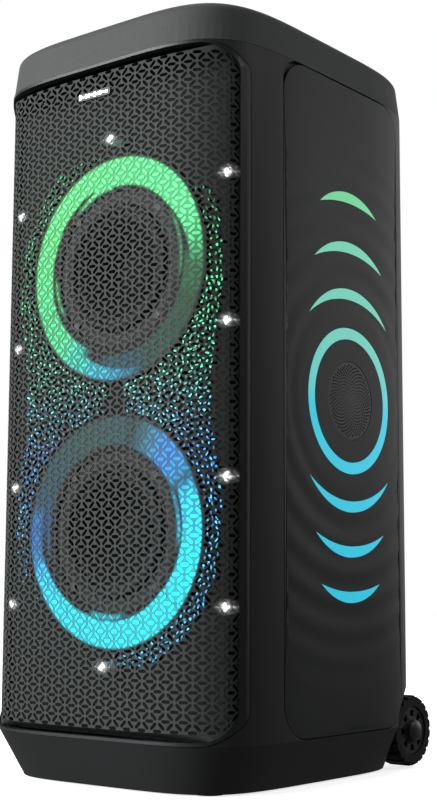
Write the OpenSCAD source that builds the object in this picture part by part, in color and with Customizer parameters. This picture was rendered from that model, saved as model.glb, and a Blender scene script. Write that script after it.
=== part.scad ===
// Party speaker: a tall cabinet with two woofers behind a curved grille,
// light rings, lit side panels, a telescopic handle and two transport wheels.
// X runs to the right of the front, Y to the back, Z up. The origin is on the
// floor, in the middle of the overall footprint.

/* [Cabinet] */
// Overall height, floor to the highest key
height = 690; // [600:1:840]
// Width of the cabinet
width = 303; // [290:1:370]
// Depth of the cabinet, without the wheels
depth = 343; // [300:1:420]
// Squareness of the outline from above, where 2 is an ellipse
squareness = 4.7; // [4.2:0.1:6]
// Thickness of the cabinet wall
wall = 7; // [6.5:0.5:9]
// Height of the seam between the base and the cabinet
base_seam = 43; // [38:1:60]
// Height of the top cap
cap_h = 38; // [34:1:50]
// How far the base tapers in at its bottom
base_taper = 19.5; // [8:0.5:24]
// How far the cap leans in before it rounds over
cap_lean = 3; // [2:0.5:14]
// Radius of the rounded top edge
cap_round = 9; // [6:0.5:20]

/* [Front] */
// Half width of the frame around the grille
bezel_half = 144; // [134:0.5:144]
// Width of the lip of that frame
bezel_lip = 3; // [2:0.5:5]
// Corner radius of the frame
bezel_corner = 27; // [12:1:40]
// Thickness of the grille sheet
grille_t = 1.4; // [1:0.1:2]
// Depth of the board that carries the woofers, from the front
baffle_depth = 39.5; // [36:0.5:60]
// Thickness of that board
baffle_t = 12; // [9:1:18]
// Outer radius of each light ring
ring_r = 105; // [96:1:108]
// Width of each light ring
ring_w = 28.5; // [20:0.5:29]
// Radius of a strobe lens
strobe_r = 4.5; // [3:0.5:6]

/* [Woofers] */
// Outer radius of a woofer
woofer_r = 75; // [62:0.5:75]
// Depth of a woofer behind the board
woofer_depth = 76; // [64:1:90]
// Distance between the two woofers
woofer_pitch = 242.8; // [222:0.2:250]
// Free travel of a cone each way
cone_travel = 4; // [2:0.5:5]

/* [Side panels] */
// Front edge of the side panel, from the middle
panel_front = -82; // [-95:1:-76]
// Rear edge of the side panel, from the middle
panel_rear = 115; // [110:1:120]
// Thickness of the side panel
panel_t = 4; // [3:0.5:5]
// Outer radius of the side light ring
side_ring_r = 68.5; // [60:0.5:70]
// Width of the side light ring
side_ring_w = 10.5; // [6:0.5:12]
// Thickness of a light crescent in its middle
crescent_t = 10; // [6:0.5:11]
// Radius of the small perforated disc
side_disc_r = 36.5; // [32:0.5:40]

/* [Handle] */
// Distance between the two handle tubes
tube_pitch = 140; // [130:1:150]
// Outer radius of the lower tubes
tube_r = 10.2; // [8.5:0.1:12.5]
// Wall thickness of every tube
tube_wall = 2; // [1.5:0.1:2.5]
// Travel of each handle stage
handle_travel = 270; // [200:1:280]

/* [Wheels] */
// Radius of a wheel over its tread
wheel_r = 34; // [28:0.5:41]
// Width of a wheel
wheel_w = 26; // [20:0.5:28]
// Radius of the axle
axle_r = 4; // [3:0.5:5]
// Lugs around the tread
lugs = 20; // [14:1:26]

/* [Rear sockets] */
// Bore radius of a large audio jack
jack_r = 3.2; // [3.18:0.01:3.3]
// Bore radius of the small audio jack
mini_jack_r = 1.8; // [1.76:0.01:1.9]
// Inner radius of the bass port
port_r = 32; // [24:1:36]

/* [Hidden] */

$fn = 64;
// Segments of the cabinet outline
outline_steps = 96;
// Segments of the cap and base, which are lofts
loft_steps = 72;
// Overshoot that keeps a cut from ending on a face
eps = 1;
// Gap at a visible seam between two covers
seam_gap = 0.3;
// Running gap of a shaft in its hole
run_gap = 0.06;
// Gap between pieces that seat on each other
fit_gap = 0.05;

charcoal = [0.10, 0.105, 0.11];
soft_black = [0.055, 0.057, 0.06];
steel = [0.62, 0.63, 0.65];
board_green = [0.05, 0.22, 0.12];

foot_h = 1.5;
floor_t = 4;
base_floor = foot_h + floor_t;
cap_seam = height - cap_h;
front_y = -depth / 2;
back_y = depth / 2;

// The wheels stand out behind, so the body sits forward of the middle
bezel_proud = 0.8;
axle_y = back_y - 21.5;
axle_z = wheel_r + 2;
body_shift = -(axle_y + wheel_r + front_y - bezel_proud) / 2;

// ---- Outline of the cabinet from above ----

function squared(v) = sign(v) * pow(abs(v), 2 / squareness);
function outline(inset, steps) = [
    for (i = [0:steps - 1])
        let (t = 360 * i / steps)
        [(width / 2 - inset) * squared(cos(t)), (depth / 2 - inset) * squared(sin(t))]
];

// Depth of the back face at a place across it, moved in by inset
function back_at(x, inset = 0) = (back_y - inset)
    * pow(1 - pow(abs(x) / (width / 2 - inset), squareness), 1 / squareness);

module placed() {
    translate([0, body_shift, 0]) children();
}

// Upright prism with the cabinet's outline, moved in by inset
module prism(z0, z1, inset) {
    translate([0, 0, z0])
        linear_extrude(z1 - z0)
            polygon(outline(inset, outline_steps));
}

// Skin of the cabinet between two insets
module skin(z0, z1, inset0, inset1) {
    difference() {
        prism(z0, z1, inset0);
        prism(z0 - eps, z1 + eps, inset1);
    }
}

// Block that follows the outline through rings of [z, inset]
module loft(rings) {
    n = loft_steps;
    top = len(rings) - 1;
    points = [
        for (ring = rings)
            for (p = outline(ring[1], n))
                [p[0], p[1], ring[0]]
    ];
    walls = [
        for (k = [0:top - 1])
            for (i = [0:n - 1])
                let (a = k * n + i, b = k * n + (i + 1) % n)
                for (face = [[a, a + n, b + n], [a, b + n, b]])
                    face
    ];
    bottom_face = [for (i = [0:n - 1]) i];
    top_face = [for (i = [n - 1:-1:0]) top * n + i];
    polyhedron(points, concat([bottom_face], walls, [top_face]));
}

// Flat plate with round corners, centred, of thickness t
module plate(size_x, size_y, t, r) {
    translate([-size_x / 2 + r, -size_y / 2, 0]) cube([size_x - 2 * r, size_y, t]);
    translate([-size_x / 2, -size_y / 2 + r, 0]) cube([size_x, size_y - 2 * r, t]);
    for (x = [-1, 1], y = [-1, 1])
        translate([x * (size_x / 2 - r), y * (size_y / 2 - r), 0])
            cylinder(h = t, r = r);
}

// Rounded window through the front or the back, from y0 to y1
module window_y(half, z0, z1, r, y0, y1) {
    translate([0, y1, (z0 + z1) / 2])
        rotate([90, 0, 0])
            plate(2 * half, z1 - z0, y1 - y0, r);
}

// Rounded window through the right side, from x0 to x1
module window_x(y0, y1, z0, z1, r, x0, x1) {
    translate([x0, (y0 + y1) / 2, (z0 + z1) / 2])
        rotate([0, 90, 0])
            rotate([0, 0, 90])
                plate(y1 - y0, z1 - z0, x1 - x0, r);
}

// Disc whose axis points to the right
module disc_x(r, x0, x1) {
    translate([x0, 0, 0]) rotate([0, 90, 0]) cylinder(h = x1 - x0, r = r);
}

// Tube around Z
module tube(r_out, r_in, z0, z1) {
    translate([0, 0, z0])
        difference() {
            cylinder(h = z1 - z0, r = r_out);
            translate([0, 0, -eps]) cylinder(h = z1 - z0 + 2 * eps, r = r_in);
        }
}

module both_sides() {
    children();
    mirror([1, 0, 0]) children();
}

// Block from one corner to the other
module block(low, high) {
    translate(low) cube(high - low);
}

// ---- Wheel wells ----

wheel_out = width / 2 - 13.5;
wheel_in = wheel_out - wheel_w;
well_r = wheel_r + 11;
well_wall = 3;
well_in = wheel_in - 5;
skirt_top = 101;

module at_axle() {
    translate([0, axle_y, axle_z]) children();
}

// Space of both wheels, widened by grow
module wheel_wells(grow) {
    both_sides()
        at_axle()
            disc_x(well_r + grow, well_in - grow, width / 2 + eps);
}

// ---- Shells ----

panel_corner = 32;
panel_corner_front = 20;
panel_low = base_seam + eps;
panel_high = cap_seam - eps;
side_mid_y = (panel_front + panel_rear) / 2 + 5.5;
side_mid_z = (base_seam + cap_seam) / 2;
board_half_z = 213;
board_front = side_mid_y - 83;
board_rear = side_mid_y + 81;

// Outline of the side panel as a block through the right side
module panel_window(grow) {
    y0 = panel_front - grow;
    y1 = panel_rear + grow;
    z0 = panel_low - grow;
    z1 = panel_high + grow;
    r = panel_corner + grow;
    rf = panel_corner_front + grow;
    window_x(y0, y1, z0, z1 - r, r, 0, width);
    window_x(y0 + r, y1, z0, z1, r, 0, width);
    window_x(y0, y1 - r, z0 + r, z1, rf, 0, width);
}

module side_pocket() {
    intersection() {
        skin(base_seam - eps, cap_seam + eps, -eps, panel_t + fit_gap);
        panel_window(eps);
    }
}

module cabinet_shell() color(charcoal) placed() {
    difference() {
        skin(base_seam, cap_seam, 0, wall);
        window_y(bezel_half + seam_gap, base_seam, cap_seam, bezel_corner, front_y - eps, -100);
        both_sides() side_pocket();
        both_sides()
            window_x(board_front, board_rear, side_mid_z - board_half_z,
                side_mid_z + board_half_z, 10, 0, width);
        intersection() {
            skin(base_seam - eps, cap_seam + eps, -eps, cover_t + fit_gap);
            window_y(cover_half + seam_gap, cover_low - seam_gap, cover_high + seam_gap, 14,
                0, back_y + eps);
        }
        window_y(cover_half - 7, cover_low + 7, cover_high - 7, 10, 0, back_y + eps);
        wheel_wells(0);
        block([-width, panel_rear + eps, base_seam - eps], [width, depth, skirt_top + seam_gap]);
        cover_screw_holes();
    }
}

// Lower rear band that carries the upper half of the wheel wells
module rear_skirt() color(charcoal) placed() {
    difference() {
        union() {
            intersection() {
                skin(base_seam + seam_gap, skirt_top, 0, wall);
                block([-width, panel_rear + eps, 0], [width, depth, height]);
            }
            intersection() {
                prism(base_seam + seam_gap, skirt_top, wall + seam_gap);
                wheel_wells(well_wall);
            }
        }
        wheel_wells(0);
        at_axle() disc_x(axle_r + run_gap, -width, width);
    }
}

cap_wall = 4;
cap_top_t = 6;
cap_rounds = [for (a = [0:15:90]) a];
// Inset of the cap at a height above its seam
function cap_inset(z) = cap_lean * z / (cap_h - cap_round);
module cap_block(inset, drop) {
    straight = cap_h - cap_round;
    loft(concat(
        [[cap_seam - drop, inset]],
        [for (a = cap_rounds)
            [cap_seam + straight + cap_round * sin(a) - drop,
             inset + cap_inset(straight) + cap_round * (1 - cos(a))]]));
}

deck_half_x = 86;
deck_front = front_y + 62;
deck_rear = deck_front + 72;
deck_t = 3.4;
key_rise = 1.4;
deck_top = height - key_rise;
deck_low = deck_top - deck_t;

grip_y = back_y - 56.5;
grip_half_x = tube_pitch / 2 + 11;
grip_half_y = 12;
grip_h = 20;
grip_top = height - 2;
grip_low = grip_top - grip_h;
pocket_floor = grip_low - 6;
pocket_front = grip_y - 43;
pocket_rear = grip_y + 16;
pocket_half_x = grip_half_x + 4;

module top_cap() color(charcoal) placed() {
    difference() {
        union() {
            difference() {
                intersection() {
                    cap_block(0, 0);
                    prism(cap_seam + seam_gap, height + eps, -eps);
                }
                difference() {
                    cap_block(cap_wall, 0);
                    block([-width, -depth, height - cap_top_t], [width, depth, height + eps]);
                }
            }
            block([-pocket_half_x - 3, pocket_front - 3, pocket_floor - 3],
                [pocket_half_x + 3, pocket_rear + 3, height - cap_top_t]);
        }
        block([-pocket_half_x, pocket_front, pocket_floor],
            [pocket_half_x, pocket_rear, height + eps]);
        translate([0, (deck_front + deck_rear) / 2, deck_low - 0.2])
            plate(2 * deck_half_x, deck_rear - deck_front, 20, 8);
        block([-deck_half_x + 6, deck_front + 6, height - cap_top_t - eps],
            [deck_half_x - 6, deck_rear - 6, height]);
        both_tubes() translate([0, 0, pocket_floor - 3 - eps])
            cylinder(h = 3 + 2 * eps, r = tube_r + run_gap);
    }
}

foot_r = 15;
foot_x = width / 2 - base_taper - 33;
foot_y = [front_y + base_taper + 32, back_y - 95];
spigot_r = 5;

module at_feet() {
    for (x = [-1, 1], y = foot_y)
        translate([x * foot_x, y, 0]) children();
}

module base_block(inset, low, low_inset) {
    loft([[low, low_inset + inset], [base_seam, inset]]);
}

module base_shell() color(charcoal) placed() {
    difference() {
        union() {
            difference() {
                base_block(0, foot_h, base_taper);
                base_block(wall - 2, base_floor, base_taper - 2);
                prism(base_seam - 0.1, base_seam + eps, wall - 2);
            }
            intersection() {
                prism(base_floor - eps, base_seam, wall);
                wheel_wells(well_wall);
                base_block(0.5, foot_h, base_taper);
            }
        }
        wheel_wells(0);
        at_feet() cylinder(h = 2 * base_floor, r = spigot_r);
        at_axle() disc_x(axle_r + run_gap, -width, width);
    }
}

module feet() color(soft_black) placed() {
    at_feet() {
        translate([0, 0, foot_h / 2]) cylinder(h = foot_h / 2, r = foot_r);
        cylinder(h = foot_h / 2, r = foot_r - 2);
        cylinder(h = base_floor, r = spigot_r);
    }
}

// ---- Front ----

grille_inset = 1;
baffle_front = front_y + baffle_depth;
baffle_back = baffle_front + baffle_t;
panel_board_t = 2;
light_front = baffle_front - panel_board_t;
ring_depth = 4;
woofer_mid = (base_seam + cap_seam) / 2 - 2.5;
woofer_z = [woofer_mid - woofer_pitch / 2, woofer_mid + woofer_pitch / 2];

module front_bezel() color([0.16, 0.165, 0.17]) placed() {
    difference() {
        intersection() {
            skin(base_seam, cap_seam, -bezel_proud, wall);
            window_y(bezel_half, base_seam + seam_gap, cap_seam - seam_gap, bezel_corner,
                front_y - 2, -100);
        }
        window_y(bezel_half - bezel_lip, base_seam + bezel_lip, cap_seam - bezel_lip,
            bezel_corner - bezel_lip, front_y - 3, -99);
    }
}

module front_grille() color([0.08, 0.09, 0.095]) placed() {
    intersection() {
        skin(base_seam, cap_seam, grille_inset, grille_inset + grille_t);
        window_y(bezel_half - bezel_lip - 0.2, base_seam + bezel_lip + 0.2,
            cap_seam - bezel_lip - 0.2, bezel_corner - bezel_lip, front_y - 2, -100);
    }
}

badge_w = 40;
badge_h = 7;
module grille_badge() color([0.85, 0.86, 0.88]) placed() {
    translate([0, front_y + grille_inset, cap_seam - 29])
        rotate([90, 0, 0])
            plate(badge_w, badge_h, 1.6, 2);
}

// Board that follows the inside of the cabinet, from y0 to y1
module inner_board(y0, y1, z0, z1) {
    intersection() {
        prism(z0, z1, wall + seam_gap);
        block([-width, y0, z0], [width, y1, z1]);
    }
}

// Everything under this is turned so that its +Z points out of the front
module at_woofers(heights) {
    for (z = heights)
        translate([0, baffle_front, z]) rotate([90, 0, 0]) children();
}

module front_baffle() color([0.13, 0.11, 0.09]) placed() {
    difference() {
        inner_board(baffle_front, baffle_back, base_seam + seam_gap, cap_seam - seam_gap);
        at_woofers(woofer_z) {
            translate([0, 0, -2 * baffle_t]) cylinder(h = 3 * baffle_t, r = frame_r);
            woofer_screw_places() translate([0, 0, -baffle_t])
                cylinder(h = baffle_t + eps, r = screw_r + fit_gap);
        }
    }
}

module light_panel() color(soft_black) placed() {
    difference() {
        inner_board(light_front, baffle_front, base_seam + 14, cap_seam - 14);
        at_woofers(woofer_z) translate([0, 0, -eps]) cylinder(h = 10, r = woofer_r + 1);
    }
}

module ring_lights() color([0.2, 0.9, 0.75]) placed() {
    at_woofers(woofer_z)
        translate([0, 0, panel_board_t])
            difference() {
                tube(ring_r, ring_r - ring_w, 0, ring_depth);
                tube(ring_r - 2, ring_r - ring_w + 2, -eps, ring_depth - 2);
            }
}

strobe_x = width / 2 - 22.5;
strobe_rows = [-187.5, -77, 58, 190];
strobe_reach = woofer_pitch / 2 + ring_r + 15;
// Places of the strobes as [x, height above the middle of the woofers]
strobe_places = concat(
    [for (row = strobe_rows, side = [-1, 1]) [side * strobe_x, row]],
    [[0, strobe_reach], [0, -strobe_reach]]);
strobe_tip = 2;
strobe_h_most = 16;
// Height of a strobe that ends short of the grille
function strobe_h(x) = min(strobe_h_most,
    light_front + back_at(abs(x) + strobe_r, grille_inset + grille_t) - 1.5);

module strobe_lights() color("white") placed() {
    for (p = strobe_places)
        translate([p[0], light_front, woofer_mid + p[1]])
            rotate([90, 0, 0]) {
                cylinder(h = strobe_h(p[0]) - strobe_tip, r = strobe_r);
                translate([0, 0, strobe_h(p[0]) - strobe_tip])
                    cylinder(h = strobe_tip, r = strobe_r - 1.5);
            }
}

// ---- Woofers, drawn with +Z out of the front and 0 at the board ----

flange_t = 4;
frame_r = woofer_r - 9;
cone_r = woofer_r - 24;
coil_r = 15;
spider_r = 36;
spider_z = -woofer_depth + 32;
motor_top = -woofer_depth + 26;
screw_r = 1.8;

module woofer_screw_places() {
    for (a = [45:90:315])
        rotate([0, 0, a]) translate([woofer_r - 4.5, 0, 0]) children();
}

module woofer_baskets() color([0.2, 0.2, 0.21]) placed() {
    at_woofers(woofer_z)
        difference() {
            rotate_extrude()
                polygon([
                    [frame_r - 2, 0], [woofer_r, 0], [woofer_r, flange_t], [cone_r + 9, flange_t],
                    [cone_r + 9, 1], [frame_r - 5, -6], [spider_r + 5, spider_z + 2],
                    [spider_r + 2, spider_z], [spider_r - 3, spider_z],
                    [spider_r - 3, spider_z - 2],
                    [spider_r + 3, spider_z - 2], [spider_r + 3, motor_top + 2],
                    [coil_r + 4, motor_top + 2], [coil_r + 4, motor_top],
                    [spider_r + 8, motor_top], [spider_r + 8, spider_z], [frame_r - 2, -6],
                ]);
            for (a = [0:90:270])
                rotate([0, 0, a])
                    translate([spider_r + 6, -11, spider_z + 5])
                        cube([40, 22, -spider_z - 13]);
            woofer_screw_places() translate([0, 0, -eps])
                cylinder(h = flange_t + 2 * eps, r = screw_r + fit_gap);
        }
}

module woofer_screws() color([0.3, 0.3, 0.31]) placed() {
    at_woofers(woofer_z)
        woofer_screw_places() {
            translate([0, 0, -baffle_t + 1]) cylinder(h = baffle_t + flange_t - 1, r = screw_r);
            translate([0, 0, flange_t]) cylinder(h = 2, r = 3.4);
        }
}

module woofer_motors() color([0.35, 0.35, 0.37]) placed() {
    at_woofers(woofer_z) {
        tube(42, coil_r + 1.2, motor_top - 5, motor_top);
        tube(45, 24, motor_top - 19, motor_top - 5);
        translate([0, 0, motor_top - 26]) cylinder(h = 7, r = 42);
        translate([0, 0, motor_top - 19]) cylinder(h = 19, r = coil_r - 1.4);
    }
}

dust_r = 22;
// Height of the cone's front face at a radius
function cone_front(r) = spider_z + 10
    + (r - coil_r) / (cone_r - 4 - coil_r) * (flange_t - spider_z - 10);

// Paper cone with its dust cap and voice coil former
module woofer_cone(z) {
    at_woofers([z]) {
        rotate_extrude()
            polygon([
                [coil_r, spider_z + 8], [coil_r + 2, spider_z + 8], [cone_r - 3, flange_t - 1.4],
                [cone_r + 1, flange_t - 1.4], [cone_r + 1, flange_t], [cone_r - 4, flange_t],
                [coil_r, spider_z + 10],
            ]);
        tube(coil_r, coil_r - 0.6, motor_top - 8, spider_z + 10);
        translate([0, 0, cone_front(dust_r) - 0.4])
            rotate_extrude()
                polygon(concat(
                    [for (a = [0:10:90]) [dust_r * sin(a), 9 * cos(a)]],
                    [for (a = [90:-10:0]) [(dust_r - 1) * sin(a), 8 * cos(a)]]));
    }
}
module woofer_cone_upper() color([0.11, 0.11, 0.12]) placed() woofer_cone(woofer_z[1]);
module woofer_cone_lower() color([0.11, 0.11, 0.12]) placed() woofer_cone(woofer_z[0]);

// Half roll between two radii, with a flat lip on each side
module roll(r0, r1, lip, z, t, tall) {
    mid = (r0 + r1) / 2;
    half = (r1 - r0) / 2;
    rotate_extrude()
        polygon(concat(
            [[r0 - lip, z], [r0 - lip, z + t]],
            [for (a = [180:-15:0]) [mid + half * cos(a), z + t + (tall - t) * sin(a)]],
            [[r1 + lip, z + t], [r1 + lip, z]],
            [for (a = [0:15:180]) [mid + (half - t) * cos(a), z + (tall - t) * sin(a)]]));
}

module woofer_surrounds() color([0.05, 0.05, 0.05]) placed() {
    at_woofers(woofer_z) roll(cone_r, cone_r + 9.5, 2.5, flange_t, 0.8, 6);
}

module woofer_spiders() color([0.75, 0.6, 0.3]) placed() {
    folds = 6;
    step = (spider_r - coil_r) / folds;
    at_woofers(woofer_z)
        rotate_extrude()
            polygon(concat(
                [for (i = [0:folds]) [coil_r + i * step, spider_z + 0.2 + (i % 2) * 1.6]],
                [for (i = [folds:-1:0]) [coil_r + i * step, spider_z + 0.9 + (i % 2) * 1.6]]));
}

// ---- Side panels and their lights, drawn on the right ----

// How far each crescent reaches from the middle, above it and below it
crescent_reach = [[106, 151, 199.5], [104, 145.5, 187]];
crescent_half = [66, 57, 48];
crescent_rise = [31, 22, 17];
function arc_r(half, rise) = (half * half + rise * rise) / (2 * rise);

// Crescent with its tips down, seen along X, through the whole side
module crescent(i, reach, grow) {
    outer = arc_r(crescent_half[i], crescent_rise[i]);
    inner = arc_r(crescent_half[i], crescent_rise[i] - crescent_t);
    difference() {
        translate([0, 0, reach - outer]) disc_x(outer + grow, 0, width);
        translate([0, 0, reach - crescent_t - inner])
            disc_x(inner - grow, -eps, width + eps);
    }
}

// Ring and crescents as blocks through the side, widened by grow
module light_blocks(grow) {
    translate([0, side_mid_y, side_mid_z]) {
        difference() {
            disc_x(side_ring_r + grow, 0, width);
            disc_x(side_ring_r - side_ring_w - grow, -eps, width + eps);
        }
        for (half = [0, 1], i = [0:len(crescent_half) - 1])
            rotate([180 * half, 0, 0]) crescent(i, crescent_reach[half][i], grow);
    }
}

module side_panel() {
    difference() {
        intersection() {
            skin(base_seam, cap_seam, 0, panel_t);
            panel_window(0);
        }
        light_blocks(0.2);
        translate([0, side_mid_y, side_mid_z]) disc_x(side_disc_r + 0.4, 0, width);
    }
}
module side_panel_right() color(soft_black) placed() side_panel();
module side_panel_left() color(soft_black) placed() mirror([1, 0, 0]) side_panel();

module side_lights() color([0.1, 0.8, 0.8]) placed() {
    both_sides()
        intersection() {
            skin(base_seam, cap_seam, 0.2, panel_t);
            light_blocks(0);
        }
}

module side_led_boards() color(board_green) placed() {
    both_sides()
        difference() {
            intersection() {
                skin(base_seam, cap_seam, panel_t + fit_gap, panel_t + 2);
                window_x(board_front + 0.3, board_rear - 0.3, side_mid_z - board_half_z + 0.3,
                    side_mid_z + board_half_z - 0.3, 9.7, 0, width);
            }
            translate([0, side_mid_y, side_mid_z]) disc_x(side_frame_r + 1, 0, width);
        }
}

module side_grilles() color([0.07, 0.08, 0.085]) placed() {
    both_sides()
        intersection() {
            skin(base_seam, cap_seam, 0.3, 1.8);
            translate([0, side_mid_y, side_mid_z]) disc_x(side_disc_r, 0, width);
        }
}

// Small full range driver behind the disc, drawn with +Z outwards
side_frame_r = side_disc_r + 6.5;
side_frame_t = 2.5;
side_cone_r = side_disc_r - 10;
side_coil_r = 10;
side_front_x = width / 2 - panel_t - 0.6;

module at_side(side) {
    translate([side * side_front_x, side_mid_y, side_mid_z])
        rotate([0, side * 90, 0])
            children();
}

module side_drivers() color([0.25, 0.25, 0.27]) placed() {
    for (side = [-1, 1])
        at_side(side) {
            rotate_extrude()
                polygon([
                    [side_cone_r + 5, -side_frame_t], [side_cone_r + 5, 0], [side_frame_r, 0],
                    [side_frame_r, -side_frame_t], [side_cone_r + 8, -side_frame_t],
                    [side_coil_r + 12, -24], [side_coil_r + 12, -38], [0, -38], [0, -34],
                    [side_coil_r - 1.2, -34], [side_coil_r - 1.2, -22],
                    [side_coil_r - 1, -22], [side_coil_r - 1, -35], [side_coil_r + 1, -35],
                    [side_coil_r + 1, -22], [side_coil_r + 9, -22],
                ]);
            translate([0, 0, -34]) cylinder(h = 12, r = side_coil_r - 1.2);
        }
}

module side_cone(side) {
    at_side(side) {
        rotate_extrude()
            polygon([
                [side_coil_r, -12], [side_coil_r + 1.2, -12], [side_cone_r, -1.2],
                [side_cone_r + 1, -1.2], [side_cone_r + 1, -0.2], [side_cone_r - 1, -0.2],
                [side_coil_r, -10.5],
            ]);
        tube(side_coil_r, side_coil_r - 0.5, -30, -10);
        rotate_extrude()
            polygon(concat(
                [for (a = [0:10:90]) [12 * sin(a), -9.5 + 5 * cos(a)]],
                [for (a = [90:-10:0]) [11.2 * sin(a), -9.5 + 4.2 * cos(a)]]));
    }
}
module side_cone_right() color([0.12, 0.12, 0.13]) placed() side_cone(1);
module side_cone_left() color([0.12, 0.12, 0.13]) placed() side_cone(-1);

module side_surrounds() color([0.05, 0.05, 0.05]) placed() {
    for (side = [-1, 1])
        at_side(side) roll(side_cone_r + 0.5, side_cone_r + 5, 1, 0, 0.5, 1.8);
}

// ---- Back ----

cover_t = 4;
cover_half = width / 2 - 40;
cover_low = skirt_top + 8;
cover_high = cap_seam - 8;
port_z = cap_seam - 112;
tray_half = 58;
tray_low = cover_low + 46;
tray_high = tray_low + 100;
tray_floor = back_y - 21.5;
tray_wall = 2.5;

seat_depth = 1.2;
module cover_screw_places() {
    x = cover_half - 4;
    rise = (cover_high - cover_low - 28) / 4;
    for (side = [-1, 1], k = [0:4])
        translate([side * x, back_at(x), cover_low + 14 + k * rise])
            rotate([-90, 0, 0])
                children();
}

// Holes for the cover's screws, with a seat for each head
module cover_screw_holes() {
    cover_screw_places() {
        translate([0, 0, -wall - 4]) cylinder(h = wall + 8, r = screw_r + fit_gap);
        translate([0, 0, -seat_depth]) cylinder(h = 8, r = 3.4);
    }
}

module cover_screws() color([0.3, 0.3, 0.31]) placed() {
    cover_screw_places() {
        translate([0, 0, -wall]) cylinder(h = wall, r = screw_r);
        translate([0, 0, -seat_depth]) cylinder(h = 1.8, r = 3);
    }
}

module back_panel() color(soft_black) placed() {
    difference() {
        intersection() {
            skin(cover_low, cover_high, 0, cover_t);
            window_y(cover_half, cover_low, cover_high, 14, 0, back_y + eps);
        }
        cover_screw_holes();
        translate([0, back_y + eps, port_z]) rotate([90, 0, 0]) cylinder(h = 20, r = port_r + 3.3);
        window_y(tray_half + 0.2, tray_low - 0.2, tray_high + 0.2, 6, 100, back_y + eps);
    }
}

// Flared tube, drawn with +Z out of the back
module bass_port() color(soft_black) placed() {
    flare = 9;
    translate([0, back_y, port_z])
        rotate([-90, 0, 0])
            rotate_extrude()
                polygon(concat(
                    [[port_r + 3, -110], [port_r + 3, 0.2], [port_r + 14, 0.2], [port_r + 14, 1.4],
                     [port_r + 12, 2.2], [port_r + flare, 2.2]],
                    [for (a = [80:-10:0])
                        [port_r + flare - flare * cos(a), 2.2 - flare + flare * sin(a)]],
                    [[port_r, -108]]));
}

mic_x = -42;
guitar_x = -14;
upper_z = tray_high - 24;
lower_z = tray_low + 24;
aux_x = -44;
usb_x = -17;
inlet_x = 22;
knob_x = [18, 42];
knob_r = 8.5;
pot_half = 7;

// Everything under this points out of the back, 0 at the floor of the tray
module at_socket(x, z) {
    translate([x, tray_floor, z]) rotate([-90, 0, 0]) children();
}

module io_tray() color([0.09, 0.09, 0.1]) placed() {
    difference() {
        union() {
            window_y(tray_half, tray_low, tray_high, 6, tray_floor - tray_wall, back_y + 0.4);
            window_y(tray_half + 6, tray_low - 6, tray_high + 6, 8, back_y + 0.3, back_y + 2);
        }
        window_y(tray_half - tray_wall, tray_low + tray_wall, tray_high - tray_wall, 4,
            tray_floor, back_y + 10);
        at_socket(mic_x, upper_z) translate([0, 0, -5]) cylinder(h = 10, r = jack_neck);
        at_socket(guitar_x, upper_z) translate([0, 0, -5]) cylinder(h = 10, r = jack_neck);
        at_socket(aux_x, lower_z) translate([0, 0, -5]) cylinder(h = 10, r = mini_neck);
        at_socket(usb_x, lower_z) translate([-usb_w / 2, -usb_h / 2, -5]) cube([usb_w, usb_h, 10]);
        at_socket(inlet_x, lower_z)
            translate([-inlet_w / 2, -inlet_h / 2, -5]) cube([inlet_w, inlet_h, 10]);
        for (x = knob_x)
            at_socket(x, upper_z) translate([0, 0, -5]) cylinder(h = 10, r = 3 + run_gap);
    }
}

jack_neck = jack_r + 2.3;
mini_neck = mini_jack_r + 1.7;
jack_deep = 24;
// One jack with a collar, a neck through the floor and a body on the board
module jack(r, neck, half) {
    difference() {
        union() {
            cylinder(h = 2, r = neck + 2);
            translate([0, 0, -tray_wall]) cylinder(h = tray_wall, r = neck);
            translate([-half, -half, board_gap]) cube([2 * half, 2 * half, -board_gap - tray_wall]);
        }
        translate([0, 0, board_gap + 2]) cylinder(h = jack_deep + 20, r = r);
    }
}

board_y = tray_floor - 28;
board_t = 1.6;
board_gap = board_y + board_t - tray_floor;

module audio_jacks() color([0.3, 0.3, 0.32]) placed() {
    at_socket(mic_x, upper_z) jack(jack_r, jack_neck, 8);
    at_socket(guitar_x, upper_z) jack(jack_r, jack_neck, 8);
    at_socket(aux_x, lower_z) jack(mini_jack_r, mini_neck, 6);
}

usb_w = 14.5;
usb_h = 7.2;
module usb_port() color(steel) placed() {
    at_socket(usb_x, lower_z)
        difference() {
            translate([-usb_w / 2, -usb_h / 2, board_gap]) cube([usb_w, usb_h, 1 - board_gap]);
            translate([-usb_w / 2 + 0.8, -usb_h / 2 + 0.8, board_gap + 10])
                cube([usb_w - 1.6, usb_h - 1.6, 30]);
        }
}

inlet_w = 26;
inlet_h = 17;
// Inlet with two pins in a shaped hollow
module power_inlet() color([0.12, 0.12, 0.13]) placed() {
    at_socket(inlet_x, lower_z) {
        difference() {
            union() {
                translate([-inlet_w / 2, -inlet_h / 2, board_gap])
                    cube([inlet_w, inlet_h, -board_gap]);
                plate(inlet_w + 6, inlet_h + 6, 1.5, 3);
            }
            for (x = [-4, 4]) translate([x, 0, -14]) cylinder(h = 30, r = 4.6);
            translate([-4, -4.6, -14]) cube([8, 9.2, 30]);
        }
        for (x = [-4.3, 4.3]) translate([x, 0, -14]) cylinder(h = 11, r = 1.2);
    }
}

module knob(i) {
    at_socket(knob_x[i], upper_z) {
        difference() {
            translate([0, 0, 0.4]) cylinder(h = 11, r = knob_r);
            for (a = [0:30:330])
                rotate([0, 0, a]) translate([knob_r + 0.8, 0, 3]) cylinder(h = 20, r = 1.4);
            translate([-0.6, knob_r - 5, 10.6]) cube([1.2, 8, 2]);
        }
        translate([0, 0, -14]) cylinder(h = 15, r = 3);
    }
}
module mic_knob() color([0.2, 0.2, 0.21]) placed() knob(0);
module guitar_knob() color([0.2, 0.2, 0.21]) placed() knob(1);

// ---- Electronics ----

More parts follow.
